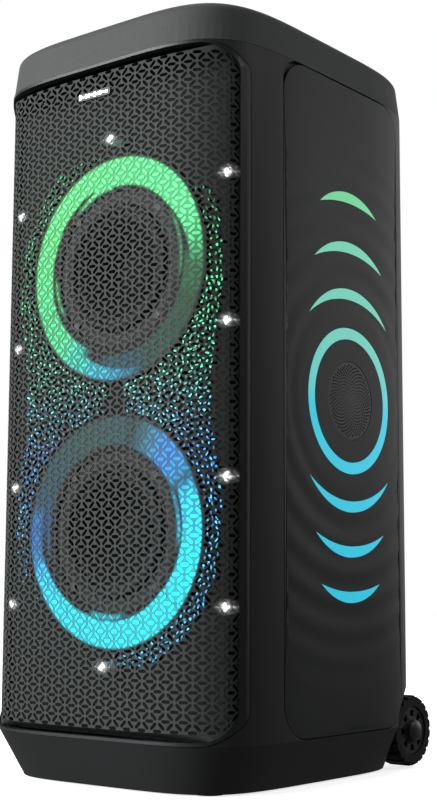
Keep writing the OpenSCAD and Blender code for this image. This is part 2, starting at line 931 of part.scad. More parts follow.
main_half_x = 84;
main_low = cover_low + 14;
main_high = tray_high + 22;
pillar_r = 4;

// Pillar from a board to the inside of the back panel, less a small gap
module pillar(x, z, y0) {
    y1 = back_at(abs(x) + pillar_r, cover_t) - 0.4;
    translate([x, y0, z]) rotate([-90, 0, 0]) cylinder(h = y1 - y0, r = pillar_r);
}

module main_board() color(board_green) placed() {
    block([-main_half_x, board_y, main_low], [main_half_x, board_y + board_t, main_high]);
    for (x = [-1, 1], z = [main_low + 8, main_high - 8])
        pillar(x * (main_half_x - 8), z, board_y + board_t);
    for (x = knob_x)
        at_socket(x, upper_z)
            difference() {
                translate([-pot_half, -pot_half, board_gap])
                    cube([2 * pot_half, 2 * pot_half, -board_gap - tray_wall - 1]);
                translate([0, 0, -15]) cylinder(h = 20, r = 3 + run_gap);
            }
    for (k = [0:3])
        translate([-60 + k * 22, board_y - 16, main_high - 34])
            rotate([-90, 0, 0])
                cylinder(h = 16, r = 7);
}

fins = 9;
module heat_sink() color(steel) placed() {
    low = main_low + 10;
    block([-62, board_y - 6, low], [62, board_y, low + 56]);
    for (k = [0:fins - 1])
        block([-62, board_y - 28, low + k * 54 / (fins - 1)],
            [62, board_y - 6, low + k * 54 / (fins - 1) + 2]);
}

supply_half = 50;
supply_low = main_high + 22;
module power_supply() color([0.1, 0.25, 0.14]) placed() {
    z1 = supply_low + 110;
    y = back_y - 46;
    block([-supply_half, y, supply_low], [supply_half, y + board_t, z1]);
    for (x = [-1, 1], z = [supply_low + 7, z1 - 7])
        pillar(x * (supply_half - 7), z, y + board_t);
    block([-18, y - 26, supply_low + 14], [18, y, supply_low + 50]);
    for (x = [-34, 34])
        translate([x, y, supply_low + 78]) rotate([90, 0, 0]) cylinder(h = 30, r = 10);
    block([-12, y - 20, supply_low + 66], [14, y, supply_low + 96]);
}

battery_half_x = 92;
module battery_pack() color([0.15, 0.25, 0.45]) placed() {
    block([-battery_half_x, -64, base_floor], [battery_half_x, 26, base_floor + 58]);
    block([-battery_half_x - 12, -30, base_floor], [-battery_half_x, -8, base_floor + 3]);
    block([battery_half_x, -30, base_floor], [battery_half_x + 12, -8, base_floor + 3]);
}

lead_r = 1.6;
// Lead that runs along the axes through its points
module lead(points) {
    for (i = [0:len(points) - 2])
        let (a = points[i], d = points[i + 1] - a, run = norm(d))
        translate(a)
            rotate([0, acos(d[2] / run), atan2(d[1], d[0])])
                cylinder(h = run, r = lead_r, $fn = 16);
    for (i = [1:len(points) - 2])
        translate(points[i]) sphere(r = lead_r, $fn = 16);
}

module wiring() color([0.45, 0.08, 0.07]) placed() {
    top_z = main_high - 10;
    for (i = [0, 1])
        let (x = 30 + 14 * i, end_z = woofer_z[i] + frame_r + 8)
        lead([
            [x, board_y, top_z], [x, board_y - 30, top_z],
            [x, board_y - 30, end_z], [x, baffle_back, end_z],
        ]);
    for (side = [-1, 1])
        lead([
            [side * 74, board_y, top_z - 12], [side * 74, side_mid_y, top_z - 12],
            [side * 74, side_mid_y, side_mid_z - 10],
            [side * (side_front_x - 38), side_mid_y, side_mid_z - 10],
        ]);
    lead([
        [-70, board_y, main_low + 6], [-70, 0, main_low + 6], [-70, 0, base_floor + 58],
    ]);
    deck_x = supply_half + 3.5;
    lead([
        [deck_x, board_y, main_high - 6], [deck_x, board_y - 14, main_high - 6],
        [deck_x, board_y - 14, cap_seam - 24], [deck_x, deck_rear - 20, cap_seam - 24],
        [deck_x, deck_rear - 20, board_top - board_t],
    ]);
}

// ---- Handle ----

guide_r = tube_r + run_gap;
guide_wall = 2.4;
guide_low = supply_low - 12;
inner_r = tube_r - tube_wall - run_gap;

module both_tubes() {
    for (x = [-1, 1])
        translate([x * tube_pitch / 2, grip_y, 0]) children();
}

lug_back = back_at(tube_pitch / 2 + 5, cover_t) - 0.2;

module handle_guides() color([0.3, 0.3, 0.32]) placed() {
    both_tubes() {
        tube(guide_r + guide_wall, guide_r, guide_low, pocket_floor - 3);
        translate([0, 0, guide_low - 3]) cylinder(h = 3, r = guide_r + guide_wall);
    }
    for (x = [-1, 1], z = [guide_low + 8, pocket_floor - 60])
        translate([x * tube_pitch / 2 - 5, grip_y + guide_r + 1, z])
            cube([10, lug_back - grip_y - guide_r - 1, 16]);
}

collar_h = grip_low - pocket_floor - 2 * seam_gap;
module handle_lower_tubes() color(steel) placed() {
    both_tubes() {
        tube(tube_r, tube_r - tube_wall, guide_low + 8, pocket_floor + seam_gap);
        tube(tube_r + 1.6, tube_r - tube_wall, pocket_floor + seam_gap, grip_low - seam_gap);
    }
}

grip_socket = 6;
module handle_upper_tubes() color(steel) placed() {
    both_tubes() tube(inner_r, inner_r - tube_wall + 0.4, guide_low + 14, grip_low + grip_socket);
}

release_half = 13;
module handle_grip() color([0.12, 0.12, 0.13]) placed() {
    difference() {
        translate([0, grip_y, grip_low]) plate(2 * grip_half_x, 2 * grip_half_y, grip_h, 11);
        both_tubes() translate([0, 0, grip_low - eps])
            cylinder(h = grip_socket + eps, r = inner_r);
        translate([0, grip_y, grip_top - 7])
            plate(2 * release_half + 0.6, 12.6, 8, 5.8);
    }
}

module handle_button() color([0.5, 0.5, 0.52]) placed() {
    translate([0, grip_y, grip_top - 4.4]) plate(2 * release_half, 12, 5, 5.5);
}

// ---- Controls on top ----

key_pitch = 33;
key_r = [8, 8, 12, 8, 8];
key_y = (deck_front + deck_rear) / 2;
key_gap = 0.3;
key_travel = 1;
board_top = height - 15;
switch_h = 1;

function key_x(i) = (i - 2) * key_pitch;

module control_deck() color([0.05, 0.05, 0.055]) placed() {
    difference() {
        translate([0, key_y, deck_low])
            plate(2 * deck_half_x - 0.6, deck_rear - deck_front - 0.6, deck_t, 7.7);
        for (i = [0:4])
            translate([key_x(i), key_y, deck_low - eps])
                cylinder(h = deck_t + 2 * eps, r = key_r[i] + key_gap);
    }
    for (x = [-1, 1], y = [-1, 1])
        translate([x * (deck_half_x - 11), key_y + y * 26, board_top])
            cylinder(h = deck_low - board_top, r = 3);
}

module control_board() color(board_green) placed() {
    translate([0, key_y, board_top - board_t]) plate(2 * deck_half_x - 14, 58, board_t, 2);
    for (i = [0:4])
        translate([key_x(i) - 3, key_y - 3, board_top]) cube([6, 6, switch_h]);
}

// One key, with a skirt under the deck and a stem above its switch
module key(i) {
    translate([key_x(i), key_y, 0]) {
        translate([0, 0, deck_low - 0.5]) cylinder(h = height - deck_low + 0.5, r = key_r[i]);
        translate([0, 0, deck_low - 2.8]) cylinder(h = 2.5, r = key_r[i] + 1.4);
        translate([0, 0, board_top + switch_h + key_travel + 0.3])
            cylinder(h = deck_low - 2 - board_top - switch_h - key_travel - 0.3, r = 2.6);
    }
}
module power_button() color([0.2, 0.2, 0.21]) placed() key(0);
module light_button() color([0.2, 0.2, 0.21]) placed() key(1);
module play_button() color([0.25, 0.25, 0.26]) placed() key(2);
module volume_down_button() color([0.2, 0.2, 0.21]) placed() key(3);
module volume_up_button() color([0.2, 0.2, 0.21]) placed() key(4);

// ---- Wheels ----

rim_r = 23;
hub_r = 12;
axle_half = wheel_out + 2.5;
cap_r = 10.5;

module axle() color(steel) placed() {
    at_axle() disc_x(axle_r, -axle_half, axle_half);
}

module axle_caps() color([0.3, 0.3, 0.31]) placed() {
    both_sides()
        at_axle()
            translate([wheel_out + 0.3, 0, 0])
                rotate([0, 90, 0])
                    rotate_extrude()
                        polygon(concat(
                            [[axle_r, 0], [cap_r, 0]],
                            [for (a = [0:10:80]) [cap_r * cos(a), 1.2 + 4.8 * sin(a)]],
                            [[0, 6], [0, 2.2], [axle_r, 2.2]]));
}

module tyre() {
    groove_d = 3.2;
    at_axle()
        difference() {
            union() {
                disc_x(wheel_r - 1.5, wheel_in, wheel_out);
                disc_x(wheel_r, wheel_in + 3, wheel_out - 3);
            }
            disc_x(rim_r, wheel_in - eps, wheel_out + eps);
            for (i = [0:lugs - 1])
                rotate([i * 360 / lugs, 0, 0])
                    translate([wheel_in - eps, -1.4, wheel_r - groove_d])
                        cube([wheel_w + 2 * eps, 2.8, 10]);
        }
}

module rim() {
    spokes = 8;
    at_axle()
        difference() {
            union() {
                disc_x(rim_r, wheel_in + 3, wheel_out - 1.5);
                disc_x(hub_r, wheel_in - 1, wheel_out);
            }
            difference() {
                disc_x(rim_r - 2, wheel_in, wheel_out - 6);
                disc_x(hub_r, wheel_in - eps, wheel_out);
            }
            for (i = [0:spokes - 1])
                rotate([i * 360 / spokes, 0, 0])
                    translate([wheel_in, 0, 0])
                        rotate([90, 0, 90])
                            linear_extrude(wheel_w + eps)
                                polygon([[-2, 13.4], [2, 13.4], [3.6, 19.4], [-3.6, 19.4]]);
            disc_x(axle_r + run_gap, 0, width);
        }
}

module wheel_tyre_right() color([0.06, 0.06, 0.06]) placed() tyre();
module wheel_tyre_left() color([0.06, 0.06, 0.06]) placed() mirror([1, 0, 0]) tyre();
module wheel_rim_right() color([0.14, 0.14, 0.15]) placed() rim();
module wheel_rim_left() color([0.14, 0.14, 0.15]) placed() mirror([1, 0, 0]) rim();

cabinet_shell();
top_cap();
base_shell();
rear_skirt();
back_panel();
front_bezel();
front_grille();
grille_badge();
front_baffle();
light_panel();
ring_lights();
strobe_lights();
side_panel_left();
side_panel_right();
side_lights();
side_led_boards();
side_grilles();
side_drivers();
side_surrounds();
side_cone_left();
side_cone_right();
woofer_baskets();
woofer_motors();
woofer_surrounds();
woofer_spiders();
woofer_cone_upper();
woofer_cone_lower();
woofer_screws();
bass_port();
io_tray();
audio_jacks();
usb_port();
power_inlet();
mic_knob();
guitar_knob();
handle_guides();
handle_lower_tubes();
handle_upper_tubes();
handle_grip();
handle_button();
axle();
axle_caps();
wheel_tyre_left();
wheel_tyre_right();
wheel_rim_left();
wheel_rim_right();
feet();
control_deck();
control_board();
power_button();
light_button();
play_button();
volume_down_button();
volume_up_button();
main_board();
heat_sink();
power_supply();
battery_pack();
wiring();
cover_screws();
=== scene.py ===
"""Looks of the party speaker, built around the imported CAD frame. Lengths in the file are metres."""

import math
import random

import bpy
import numpy as np
from mathutils import Matrix, Vector
from mathutils.geometry import delaunay_2d_cdt


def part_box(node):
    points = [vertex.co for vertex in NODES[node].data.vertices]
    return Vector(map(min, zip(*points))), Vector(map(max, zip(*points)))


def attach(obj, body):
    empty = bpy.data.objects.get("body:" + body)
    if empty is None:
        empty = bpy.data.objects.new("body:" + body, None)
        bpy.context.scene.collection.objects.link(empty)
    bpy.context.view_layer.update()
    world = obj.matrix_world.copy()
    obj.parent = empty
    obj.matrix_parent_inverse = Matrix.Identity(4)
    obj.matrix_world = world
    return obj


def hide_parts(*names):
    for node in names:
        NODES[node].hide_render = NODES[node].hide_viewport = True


MM = 0.001
WHITE = (1, 1, 1, 1)
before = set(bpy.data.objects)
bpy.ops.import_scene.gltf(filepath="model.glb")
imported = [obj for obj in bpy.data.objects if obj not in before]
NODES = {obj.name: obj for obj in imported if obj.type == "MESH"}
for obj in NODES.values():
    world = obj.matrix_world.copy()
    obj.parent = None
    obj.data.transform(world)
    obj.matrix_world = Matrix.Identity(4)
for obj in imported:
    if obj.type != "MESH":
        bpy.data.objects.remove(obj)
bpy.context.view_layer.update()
rng = random.Random(7)


# ---- Numbers and colours ----

def linear(*rgb):
    """0 to 255 screen colour as linear light."""
    out = []
    for v in rgb:
        v /= 255
        # The sRGB curve
        out.append(v / 12.92 if v <= 0.04045 else ((v + 0.055) / 1.055) ** 2.4)
    return out


def smooth(a, b, v):
    """0 to 1 as v goes from a to b, with soft ends."""
    t = min(1.0, max(0.0, (v - a) / (b - a)))
    return t * t * (3 - 2 * t)


def mix(a, b, t):
    return [p + (q - p) * t for p, q in zip(a, b)]


def along(stops, v):
    """Colour at v on a list of (place, colour)."""
    if v <= stops[0][0]:
        return stops[0][1]
    for (a, ca), (b, cb) in zip(stops, stops[1:]):
        if v <= b:
            return mix(ca, cb, smooth(a, b, v))
    return stops[-1][1]


# ---- Outline of the cabinet from above ----

body_lo, body_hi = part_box("base_shell")
HALF_W = (body_hi.x - body_lo.x) / 2
HALF_D = (body_hi.y - body_lo.y) / 2
MID_Y = (body_hi.y + body_lo.y) / 2
# Exponent of the outline, where 2 is an ellipse
SQUARE = 4.7
# Where the curve's points change from steps across to steps along, and where they end
TURN, REAR_END, CURVE_STEPS = 0.93, 0.4, 400


def across(v, a, b):
    """The other half width of the outline at a distance v from its middle."""
    return b * max(0.0, 1 - min(1.0, abs(v) / a) ** SQUARE) ** (1 / SQUARE)


def normal_at(x, y, a, b):
    """Outward normal of the outline with half widths a and b."""
    n = Vector((math.copysign((abs(x) / a) ** (SQUARE - 1) / a, x),
                math.copysign((abs(y) / b) ** (SQUARE - 1) / b, y), 0))
    return n.normalized()


class Front:
    """The front of the outline at one inset, measured along its curve from the middle."""

    def __init__(self, inset):
        self.a, self.b = HALF_W - inset, HALF_D - inset
        xs = np.linspace(0, TURN * self.a, CURVE_STEPS)
        pts = [(x, across(x, self.a, self.b)) for x in xs]
        ys = np.linspace(pts[-1][1], REAR_END * self.b, CURVE_STEPS)[1:]
        pts += [(across(y, self.b, self.a), y) for y in ys]
        pts = np.array(pts)
        step = np.hypot(*np.diff(pts, axis=0).T)
        self.u = np.concatenate([[0], np.cumsum(step)])
        self.x, self.y = pts[:, 0], pts[:, 1]

    def place(self, u, z, deep):
        """Point at u along the curve, deep metres behind it."""
        x = float(np.interp(abs(u), self.u, self.x))
        y = float(np.interp(abs(u), self.u, self.y))
        x = math.copysign(x, u)
        n = normal_at(x, -y, self.a, self.b)
        return Vector((x, MID_Y - y, z)) - n * deep

    def reach(self, x):
        """Distance along the curve at a place across it."""
        return float(np.interp(x, self.x, self.u))


# ---- Meshes ----

# Distance in mm at which two points of a flat sheet count as one
SAME_POINT = 1e-5


def new_object(name, verts, faces, smooth_faces=False):
    mesh = bpy.data.meshes.new(name)
    mesh.from_pydata([tuple(v) for v in verts], [], faces)
    mesh.validate()
    for p in mesh.polygons:
        p.use_smooth = smooth_faces
    obj = bpy.data.objects.new(name, mesh)
    bpy.context.scene.collection.objects.link(obj)
    return obj


def inside(p, loop):
    """Whether a flat point lies in a closed loop."""
    x, y = p
    found = False
    for (ax, ay), (bx, by) in zip(loop, loop[1:] + loop[:1]):
        if (ay > y) != (by > y) and x < (bx - ax) * (y - ay) / (by - ay) + ax:
            found = not found
    return found


def cut_sheet(name, border, holes, extra, place, deep, outward):
    """Sheet with holes from flat loops in mm, put on its surface by place, with walls deep metres in.

    extra holds more points inside the sheet, and outward(point) is the side that its faces look to.
    """
    loops = [border] + holes
    flat, owner, edges = [], [], []
    for k, loop in enumerate(loops):
        b = len(flat)
        flat += [Vector(p) for p in loop]
        owner += [k] * len(loop)
        edges += [(b + i, b + (i + 1) % len(loop)) for i in range(len(loop))]
    flat += [Vector(p) for p in extra]
    owner += [-1] * len(extra)
    out, _, tris, source, _, _ = delaunay_2d_cdt(flat, edges, [], 0, SAME_POINT)
    at = {}
    for i, src in enumerate(source):
        for s in src:
            at[s] = i
    kind = [owner[src[0]] if src else -1 for src in source]
    faces = []
    for t in tris:
        k = kind[t[0]]
        if k >= 0 and kind[t[1]] == k and kind[t[2]] == k:
            c = [sum(out[i][j] for i in t) / 3 for j in (0, 1)]
            if inside(c, loops[k]) != (k == 0):
                continue
        faces.append(tuple(t))
    verts = [place(p[0] * MM, p[1] * MM, 0.0) for p in out]
    a, b, c = (verts[i] for i in faces[0])
    flip = (b - a).cross(c - a).dot(outward(a)) < 0
    for k, loop in enumerate(loops):
        b = owner.index(k)
        ring = [at[b + i] for i in range(len(loop))]
        back = len(verts)
        verts += [place(out[i][0] * MM, out[i][1] * MM, deep) for i in ring]
        area = sum(p[0] * q[1] - q[0] * p[1] for p, q in zip(loop, loop[1:] + loop[:1]))
        turned = (area > 0) == (k == 0)
        n = len(ring)
        for i in range(n):
            j = (i + 1) % n
            quad = (ring[j], ring[i], back + i, back + j)
            faces.append(quad if turned else quad[::-1])
    if flip:
        faces = [f[::-1] for f in faces]
    return new_object(name, verts, faces)


def rounded(x0, x1, y0, y1, r, steps=8):
    """Flat loop of a rectangle with round corners."""
    out = []
    corners = ((x1 - r, y0 + r, -90), (x1 - r, y1 - r, 0), (x0 + r, y1 - r, 90), (x0 + r, y0 + r, 180))
    for cx, cy, a0 in corners:
        for i in range(steps + 1):
            a = math.radians(a0 + 90 * i / steps)
            out.append((cx + r * math.cos(a), cy + r * math.sin(a)))
    return out


def colours(obj, name, values):
    """Colour per vertex, read by the piece's material."""
    layer = obj.data.color_attributes.new(name, "FLOAT_COLOR", "POINT")
    layer.data.foreach_set("color", np.array(values, np.float32).ravel())


# ---- Materials ----

# Height of the grain's bump in metres, and the part of a noise's range that is used
GRAIN_DEPTH = 0.00025
NOISE_LOW, NOISE_HIGH = 0.3, 0.7
BROAD_DETAIL, FINE_DETAIL = 4, 2


class Mat:
    """A node material with the surface's own grain, in the row frame's coordinates."""

    def __init__(self, name, rgb, rough=0.5, metal=0.0, spec=0.5, tone=0.12, tone_scale=9, grain=0.3,
                 grain_scale=900, rough_vary=0.06, stretch=(1, 1, 1), coat=0.0):
        self.slot = name
        self.m = bpy.data.materials.new("look_" + name)
        self.m.use_nodes = True
        self.t = self.m.node_tree
        self.b = self.t.nodes["Principled BSDF"]
        self.out = self.t.nodes["Material Output"]
        self.b.inputs["Metallic"].default_value = metal
        self.b.inputs["Specular IOR Level"].default_value = spec
        self.b.inputs["Coat Weight"].default_value = coat
        self.where = self.node("ShaderNodeTexCoord").outputs["Object"]
        spread = self.node("ShaderNodeMapping")
        spread.inputs["Scale"].default_value = stretch
        self.link(self.where, spread.inputs["Vector"])
        self.spread = spread.outputs["Vector"]
        broad = self.noise(tone_scale, BROAD_DETAIL)
        tones = self.node("ShaderNodeMix")
        tones.data_type = "RGBA"
        tones.inputs["A"].default_value = (*[v * (1 - tone) for v in rgb], 1)
        tones.inputs["B"].default_value = (*[v * (1 + tone) for v in rgb], 1)
        self.link(broad, tones.inputs["Factor"])
        self.colour = tones.outputs["Result"]
        self.link(self.colour, self.b.inputs["Base Color"])
        fine = self.noise(grain_scale, FINE_DETAIL)
        span = self.node("ShaderNodeMapRange")
        span.inputs["From Min"].default_value = NOISE_LOW
        span.inputs["From Max"].default_value = NOISE_HIGH
        span.inputs["To Min"].default_value = max(0.02, rough - rough_vary)
        span.inputs["To Max"].default_value = min(1.0, rough + rough_vary)
        self.link(fine, span.inputs["Value"])
        self.link(span.outputs["Result"], self.b.inputs["Roughness"])
        bump = self.node("ShaderNodeBump")
        bump.inputs["Strength"].default_value = grain
        bump.inputs["Distance"].default_value = GRAIN_DEPTH
        self.link(fine, bump.inputs["Height"])
        self.link(bump.outputs["Normal"], self.b.inputs["Normal"])

    def node(self, kind):
        return self.t.nodes.new(kind)

    def link(self, a, b):
        self.t.links.new(a, b)

    def noise(self, scale, detail):
        n = self.node("ShaderNodeTexNoise")
        n.inputs["Scale"].default_value = scale
        n.inputs["Detail"].default_value = detail
        self.link(self.spread, n.inputs["Vector"])
        return n.outputs["Fac"]

    def glow(self, source, strength):
        self.link(source, self.b.inputs["Emission Color"])
        self.b.inputs["Emission Strength"].default_value = strength

    def paint(self, *objs):
        for o in objs:
            o.data.materials.clear()
            o.data.materials.append(self.m)


MAT = {
    "charcoal": Mat("charcoal_plastic", linear(36, 37, 38), rough=0.5, spec=0.36, grain=0.35),
    # Top cap: the shell's charcoal plastic in a lighter colour, which is painted light from above; its
    # rougher grain is its own
    "cap": Mat("charcoal_plastic", linear(68, 70, 70), rough=0.64, spec=0.26, grain=0.6, grain_scale=700),
    "side": Mat("side_plastic", linear(28, 30, 31), rough=0.48, spec=0.3, grain=0.3),
    "cover": Mat("cover_plastic", linear(30, 31, 32), rough=0.6, spec=0.4, grain=0.5, grain_scale=700),
    "bezel": Mat("bezel_plastic", linear(30, 31, 32), rough=0.42, spec=0.36, grain=0.2),
    "grille": Mat("grille_steel", linear(74, 78, 76), rough=0.66, spec=0.22, tone=0.08, grain=0.25),
    "badge": Mat("badge_metal", linear(225, 228, 230), rough=0.28, metal=1.0, tone=0.05, grain=0.25,
                 grain_scale=500, stretch=(0.05, 1, 3)),
    "board": Mat("baffle_board", linear(16, 16, 17), rough=0.8, spec=0.2, tone=0.3, grain=0.6,
                 grain_scale=400),
    "light_board": Mat("light_board", linear(14, 16, 17), rough=0.7, spec=0.2, tone=0.2, grain=0.2),
    "diffuser": Mat("ring_diffuser", linear(28, 34, 34), rough=0.5, spec=0.3, grain=0.1),
    "lens": Mat("strobe_lens", linear(250, 250, 250), rough=0.15, spec=0.5, grain=0.05),
    "circuit": Mat("circuit_board", linear(24, 66, 44), rough=0.45, tone=0.3, tone_scale=160, grain=0.4),
    "basket": Mat("basket_metal", linear(26, 26, 27), rough=0.6, metal=0.2, grain=0.5),
    "magnet": Mat("magnet", linear(70, 71, 74), rough=0.5, metal=0.7, grain=0.4),
    "cone": Mat("cone_paper", linear(24, 24, 25), rough=0.85, spec=0.2, tone=0.25, tone_scale=120, grain=0.9,
                grain_scale=500),
    "rubber": Mat("soft_rubber", linear(17, 17, 18), rough=0.6, spec=0.35, grain=0.2),
    "spider": Mat("spider_cloth", linear(176, 142, 84), rough=0.9, tone=0.2, grain=1.0, grain_scale=1500),
    "screw": Mat("screw_steel", linear(90, 91, 93), rough=0.35, metal=1.0, grain=0.3),
    "socket": Mat("socket_plastic", linear(20, 20, 21), rough=0.4, grain=0.15),
    "socket_metal": Mat("socket_metal", linear(170, 172, 174), rough=0.3, metal=1.0, grain=0.2),
    "knob": Mat("knob_plastic", linear(26, 26, 27), rough=0.45, grain=0.3),
    "tube": Mat("tube_metal", linear(150, 152, 155), rough=0.25, metal=1.0, tone=0.05, grain=0.3,
                stretch=(1, 1, 0.04)),
    "guide": Mat("guide_metal", linear(60, 61, 63), rough=0.5, metal=0.6, grain=0.4),
    "grip": Mat("grip_plastic", linear(25, 25, 26), rough=0.6, spec=0.35, grain=0.8, grain_scale=600),
    "axle": Mat("axle_steel", linear(150, 150, 152), rough=0.35, metal=1.0, grain=0.3),
    "tyre": Mat("tyre_rubber", linear(24, 24, 25), rough=0.75, spec=0.3, tone=0.25, tone_scale=40, grain=0.8,
                grain_scale=800),
    "rim": Mat("rim_plastic", linear(24, 25, 26), rough=0.45, spec=0.4, grain=0.3),
    "hub": Mat("hub_cap", linear(38, 39, 40), rough=0.35, spec=0.5, grain=0.15),
    "foot": Mat("foot_rubber", linear(18, 18, 18), rough=0.85, spec=0.2, grain=0.8),
    "deck": Mat("deck_plastic", linear(22, 22, 23), rough=0.3, spec=0.5, grain=0.15),
    "key": Mat("key_rubber", linear(34, 34, 35), rough=0.55, spec=0.4, grain=0.4),
    "battery": Mat("battery_wrap", linear(30, 60, 120), rough=0.35, tone=0.1, grain=0.3),
    "wire": Mat("wire_jacket", linear(24, 24, 25), rough=0.5, grain=0.3),
}

FINISH = {
    "cabinet_shell": "charcoal", "top_cap": "cap", "base_shell": "charcoal", "rear_skirt": "charcoal",
    "back_panel": "cover", "front_bezel": "bezel", "grille_badge": "badge", "front_baffle": "board",
    "light_panel": "light_board", "ring_lights": "diffuser", "strobe_lights": "lens",
    "side_led_boards": "circuit", "side_drivers": "basket", "side_surrounds": "rubber",
    "side_cone_left": "cone", "side_cone_right": "cone", "woofer_baskets": "basket",
    "woofer_motors": "magnet", "woofer_surrounds": "rubber", "woofer_spiders": "spider",
    "woofer_cone_upper": "cone",
    "woofer_cone_lower": "cone", "woofer_screws": "magnet", "bass_port": "socket", "io_tray": "cover",
    "audio_jacks": "socket", "usb_port": "socket_metal", "power_inlet": "socket", "mic_knob": "knob",
    "guitar_knob": "knob", "handle_guides": "guide", "handle_lower_tubes": "tube",
    "handle_upper_tubes": "tube", "handle_grip": "grip", "handle_button": "key", "axle": "axle",
    "axle_caps": "hub", "wheel_tyre_left": "tyre", "wheel_tyre_right": "tyre", "wheel_rim_left": "rim",
    "wheel_rim_right": "rim", "feet": "foot", "control_deck": "deck", "control_board": "circuit",
    "power_button": "key", "light_button": "key", "play_button": "key", "volume_down_button": "key",
    "volume_up_button": "key", "main_board": "circuit", "heat_sink": "guide", "power_supply": "magnet",
    "battery_pack": "battery", "wiring": "wire", "cover_screws": "screw",
}
for node, finish in FINISH.items():
    MAT[finish].paint(NODES[node])

# Rounded edges in mm, on the parts that catch the light
EDGE_STEPS, EDGE_ANGLE, SHADE_WEIGHT = 2, math.radians(40), 80
WELD_GAP = 0.01 * MM
EDGES = {
    "cabinet_shell": 0.5, "top_cap": 0.5, "base_shell": 0.5, "rear_skirt": 0.5, "front_bezel": 0.35,
    "grille_badge": 0.3, "back_panel": 0.4, "handle_grip": 1.2, "axle_caps": 0.3, "wheel_rim_left": 0.4,
    "wheel_rim_right": 0.4, "wheel_tyre_left": 0.5, "wheel_tyre_right": 0.5, "feet": 0.4, "io_tray": 0.4,
    "control_deck": 0.3,
}
for node, width in EDGES.items():
    o = NODES[node]
    weld = o.modifiers.new("weld", "WELD")
    weld.merge_threshold = WELD_GAP
    edge = o.modifiers.new("edge", "BEVEL")
    edge.width = width * MM
    edge.segments = EDGE_STEPS
    edge.limit_method = "ANGLE"
    edge.angle_limit = EDGE_ANGLE
    edge.use_clamp_overlap = True
    shade = o.modifiers.new("shade", "WEIGHTED_NORMAL")
    shade.weight = SHADE_WEIGHT
    shade.keep_sharp = False


# ---- Perforated front grille ----

# Pattern in mm: slots in three directions round each point of a diamond lattice
PITCH = 16.3
ROW = PITCH / 2
SLOT_LENGTH, SLOT_WIDTH, SLOT_STEPS = 8.3, 3.0, 3
SLOT_COLUMNS = 11
GRILLE_CORNER, GRILLE_RIM, SHEET_T = 24, 1, 1.3
# How much of what is behind them the strips between the slots hide
COVER = 0.68
grille_lo, grille_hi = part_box("front_grille")
front = Front(MM)


def slot_loop(cx, cz, angle):
    r = SLOT_WIDTH / 2
    h = SLOT_LENGTH / 2 - r
    c, s = math.cos(angle), math.sin(angle)
    out = []
    for end in (1, -1):
        for k in range(SLOT_STEPS + 1):
            a = -math.pi / 2 + math.pi * k / SLOT_STEPS
            x, y = end * (h + r * math.cos(a)), end * r * math.sin(a)
            out.append((cx + x * c - y * s, cz + x * s + y * c))
    return out


grille_u = front.reach(grille_hi.x) / MM
z0, z1 = grille_lo.z / MM, grille_hi.z / MM
grille_border = rounded(-grille_u, grille_u, z0, z1, GRILLE_CORNER)
safe = rounded(-grille_u + GRILLE_RIM, grille_u - GRILLE_RIM, z0 + GRILLE_RIM, z1 - GRILLE_RIM,
               GRILLE_CORNER - GRILLE_RIM)
slots = []
for j in range(int((z1 - z0) / ROW) + 2):
    for i in range(-SLOT_COLUMNS, SLOT_COLUMNS + 1):
        x, z = i * PITCH + (j % 2) * PITCH / 2, z0 + j * ROW
        for cx, cz, a in ((x + PITCH / 2, z, 0.0), (x + PITCH / 4, z + ROW / 2, math.pi / 4),
                          (x - PITCH / 4, z + ROW / 2, -math.pi / 4)):
            loop = slot_loop(cx, cz, a)
            if all(inside(p, safe) for p in loop):
                slots.append(loop)
grille = cut_sheet("grille_mesh", grille_border, slots, [], front.place, SHEET_T * MM,
                   lambda p: Vector((p.x, p.y - MID_Y, 0)))
m = MAT["grille"]
m.b.inputs["Alpha"].default_value = COVER
m.paint(grille)
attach(grille, "cabinet")
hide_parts("front_grille")


# ---- Badge: a plain motif of bars on a dark plate ----

BAR_TALLS = (0.9, 0.35, 0.6, 0.6, 0.35, 0.8, 0.5, 0.7, 0.35, 0.55)
# Shares of the plate: empty end, bars' run, one bar's width and half the tallest bar
PLATE_END, PLATE_RUN, BAR_WIDE, BAR_HALF = 0.05, 0.9, 0.062, 0.42
BAR_FRONT, BAR_BACK, BAR_SLOPE = 0.35 * MM, 0.3 * MM, 0.2 * MM
badge_lo, badge_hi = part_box("grille_badge")
MAT["bezel"].paint(NODES["grille_badge"])
verts, faces = [], []
span = badge_hi.x - badge_lo.x
mid = (badge_lo.z + badge_hi.z) / 2
for i, tall in enumerate(BAR_TALLS):
    x0 = badge_lo.x + span * (PLATE_END + PLATE_RUN * i / len(BAR_TALLS))
    x1 = x0 + span * BAR_WIDE
    h = (badge_hi.z - badge_lo.z) * BAR_HALF * tall
    b = len(verts)
    for y, k in ((badge_lo.y - BAR_FRONT, BAR_SLOPE), (badge_lo.y + BAR_BACK, 0)):
        verts += [(x0 + k, y, mid - h + k), (x1 - k, y, mid - h + k),
                  (x1 - k, y, mid + h - k), (x0 + k, y, mid + h - k)]
    faces.append((b, b + 1, b + 2, b + 3))
    faces += [(b + j, b + 4 + j, b + 4 + (j + 1) % 4, b + (j + 1) % 4) for j in range(4)]
bars_obj = new_object("badge_bars", verts, faces)
MAT["badge"].paint(bars_obj)
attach(bars_obj, "cabinet")


# ---- Ring lights: brush strokes of light on each diffuser ----

ring_lo, ring_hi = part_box("ring_lights")
RING_OUT = (ring_hi.x - ring_lo.x) / 2 / MM
RING_Z = [ring_lo.z / MM + RING_OUT, ring_hi.z / MM - RING_OUT]
RING_FRONT = ring_lo.y
# Width in mm over which a stroke's edge fades
STROKE_SOFT = 1.6


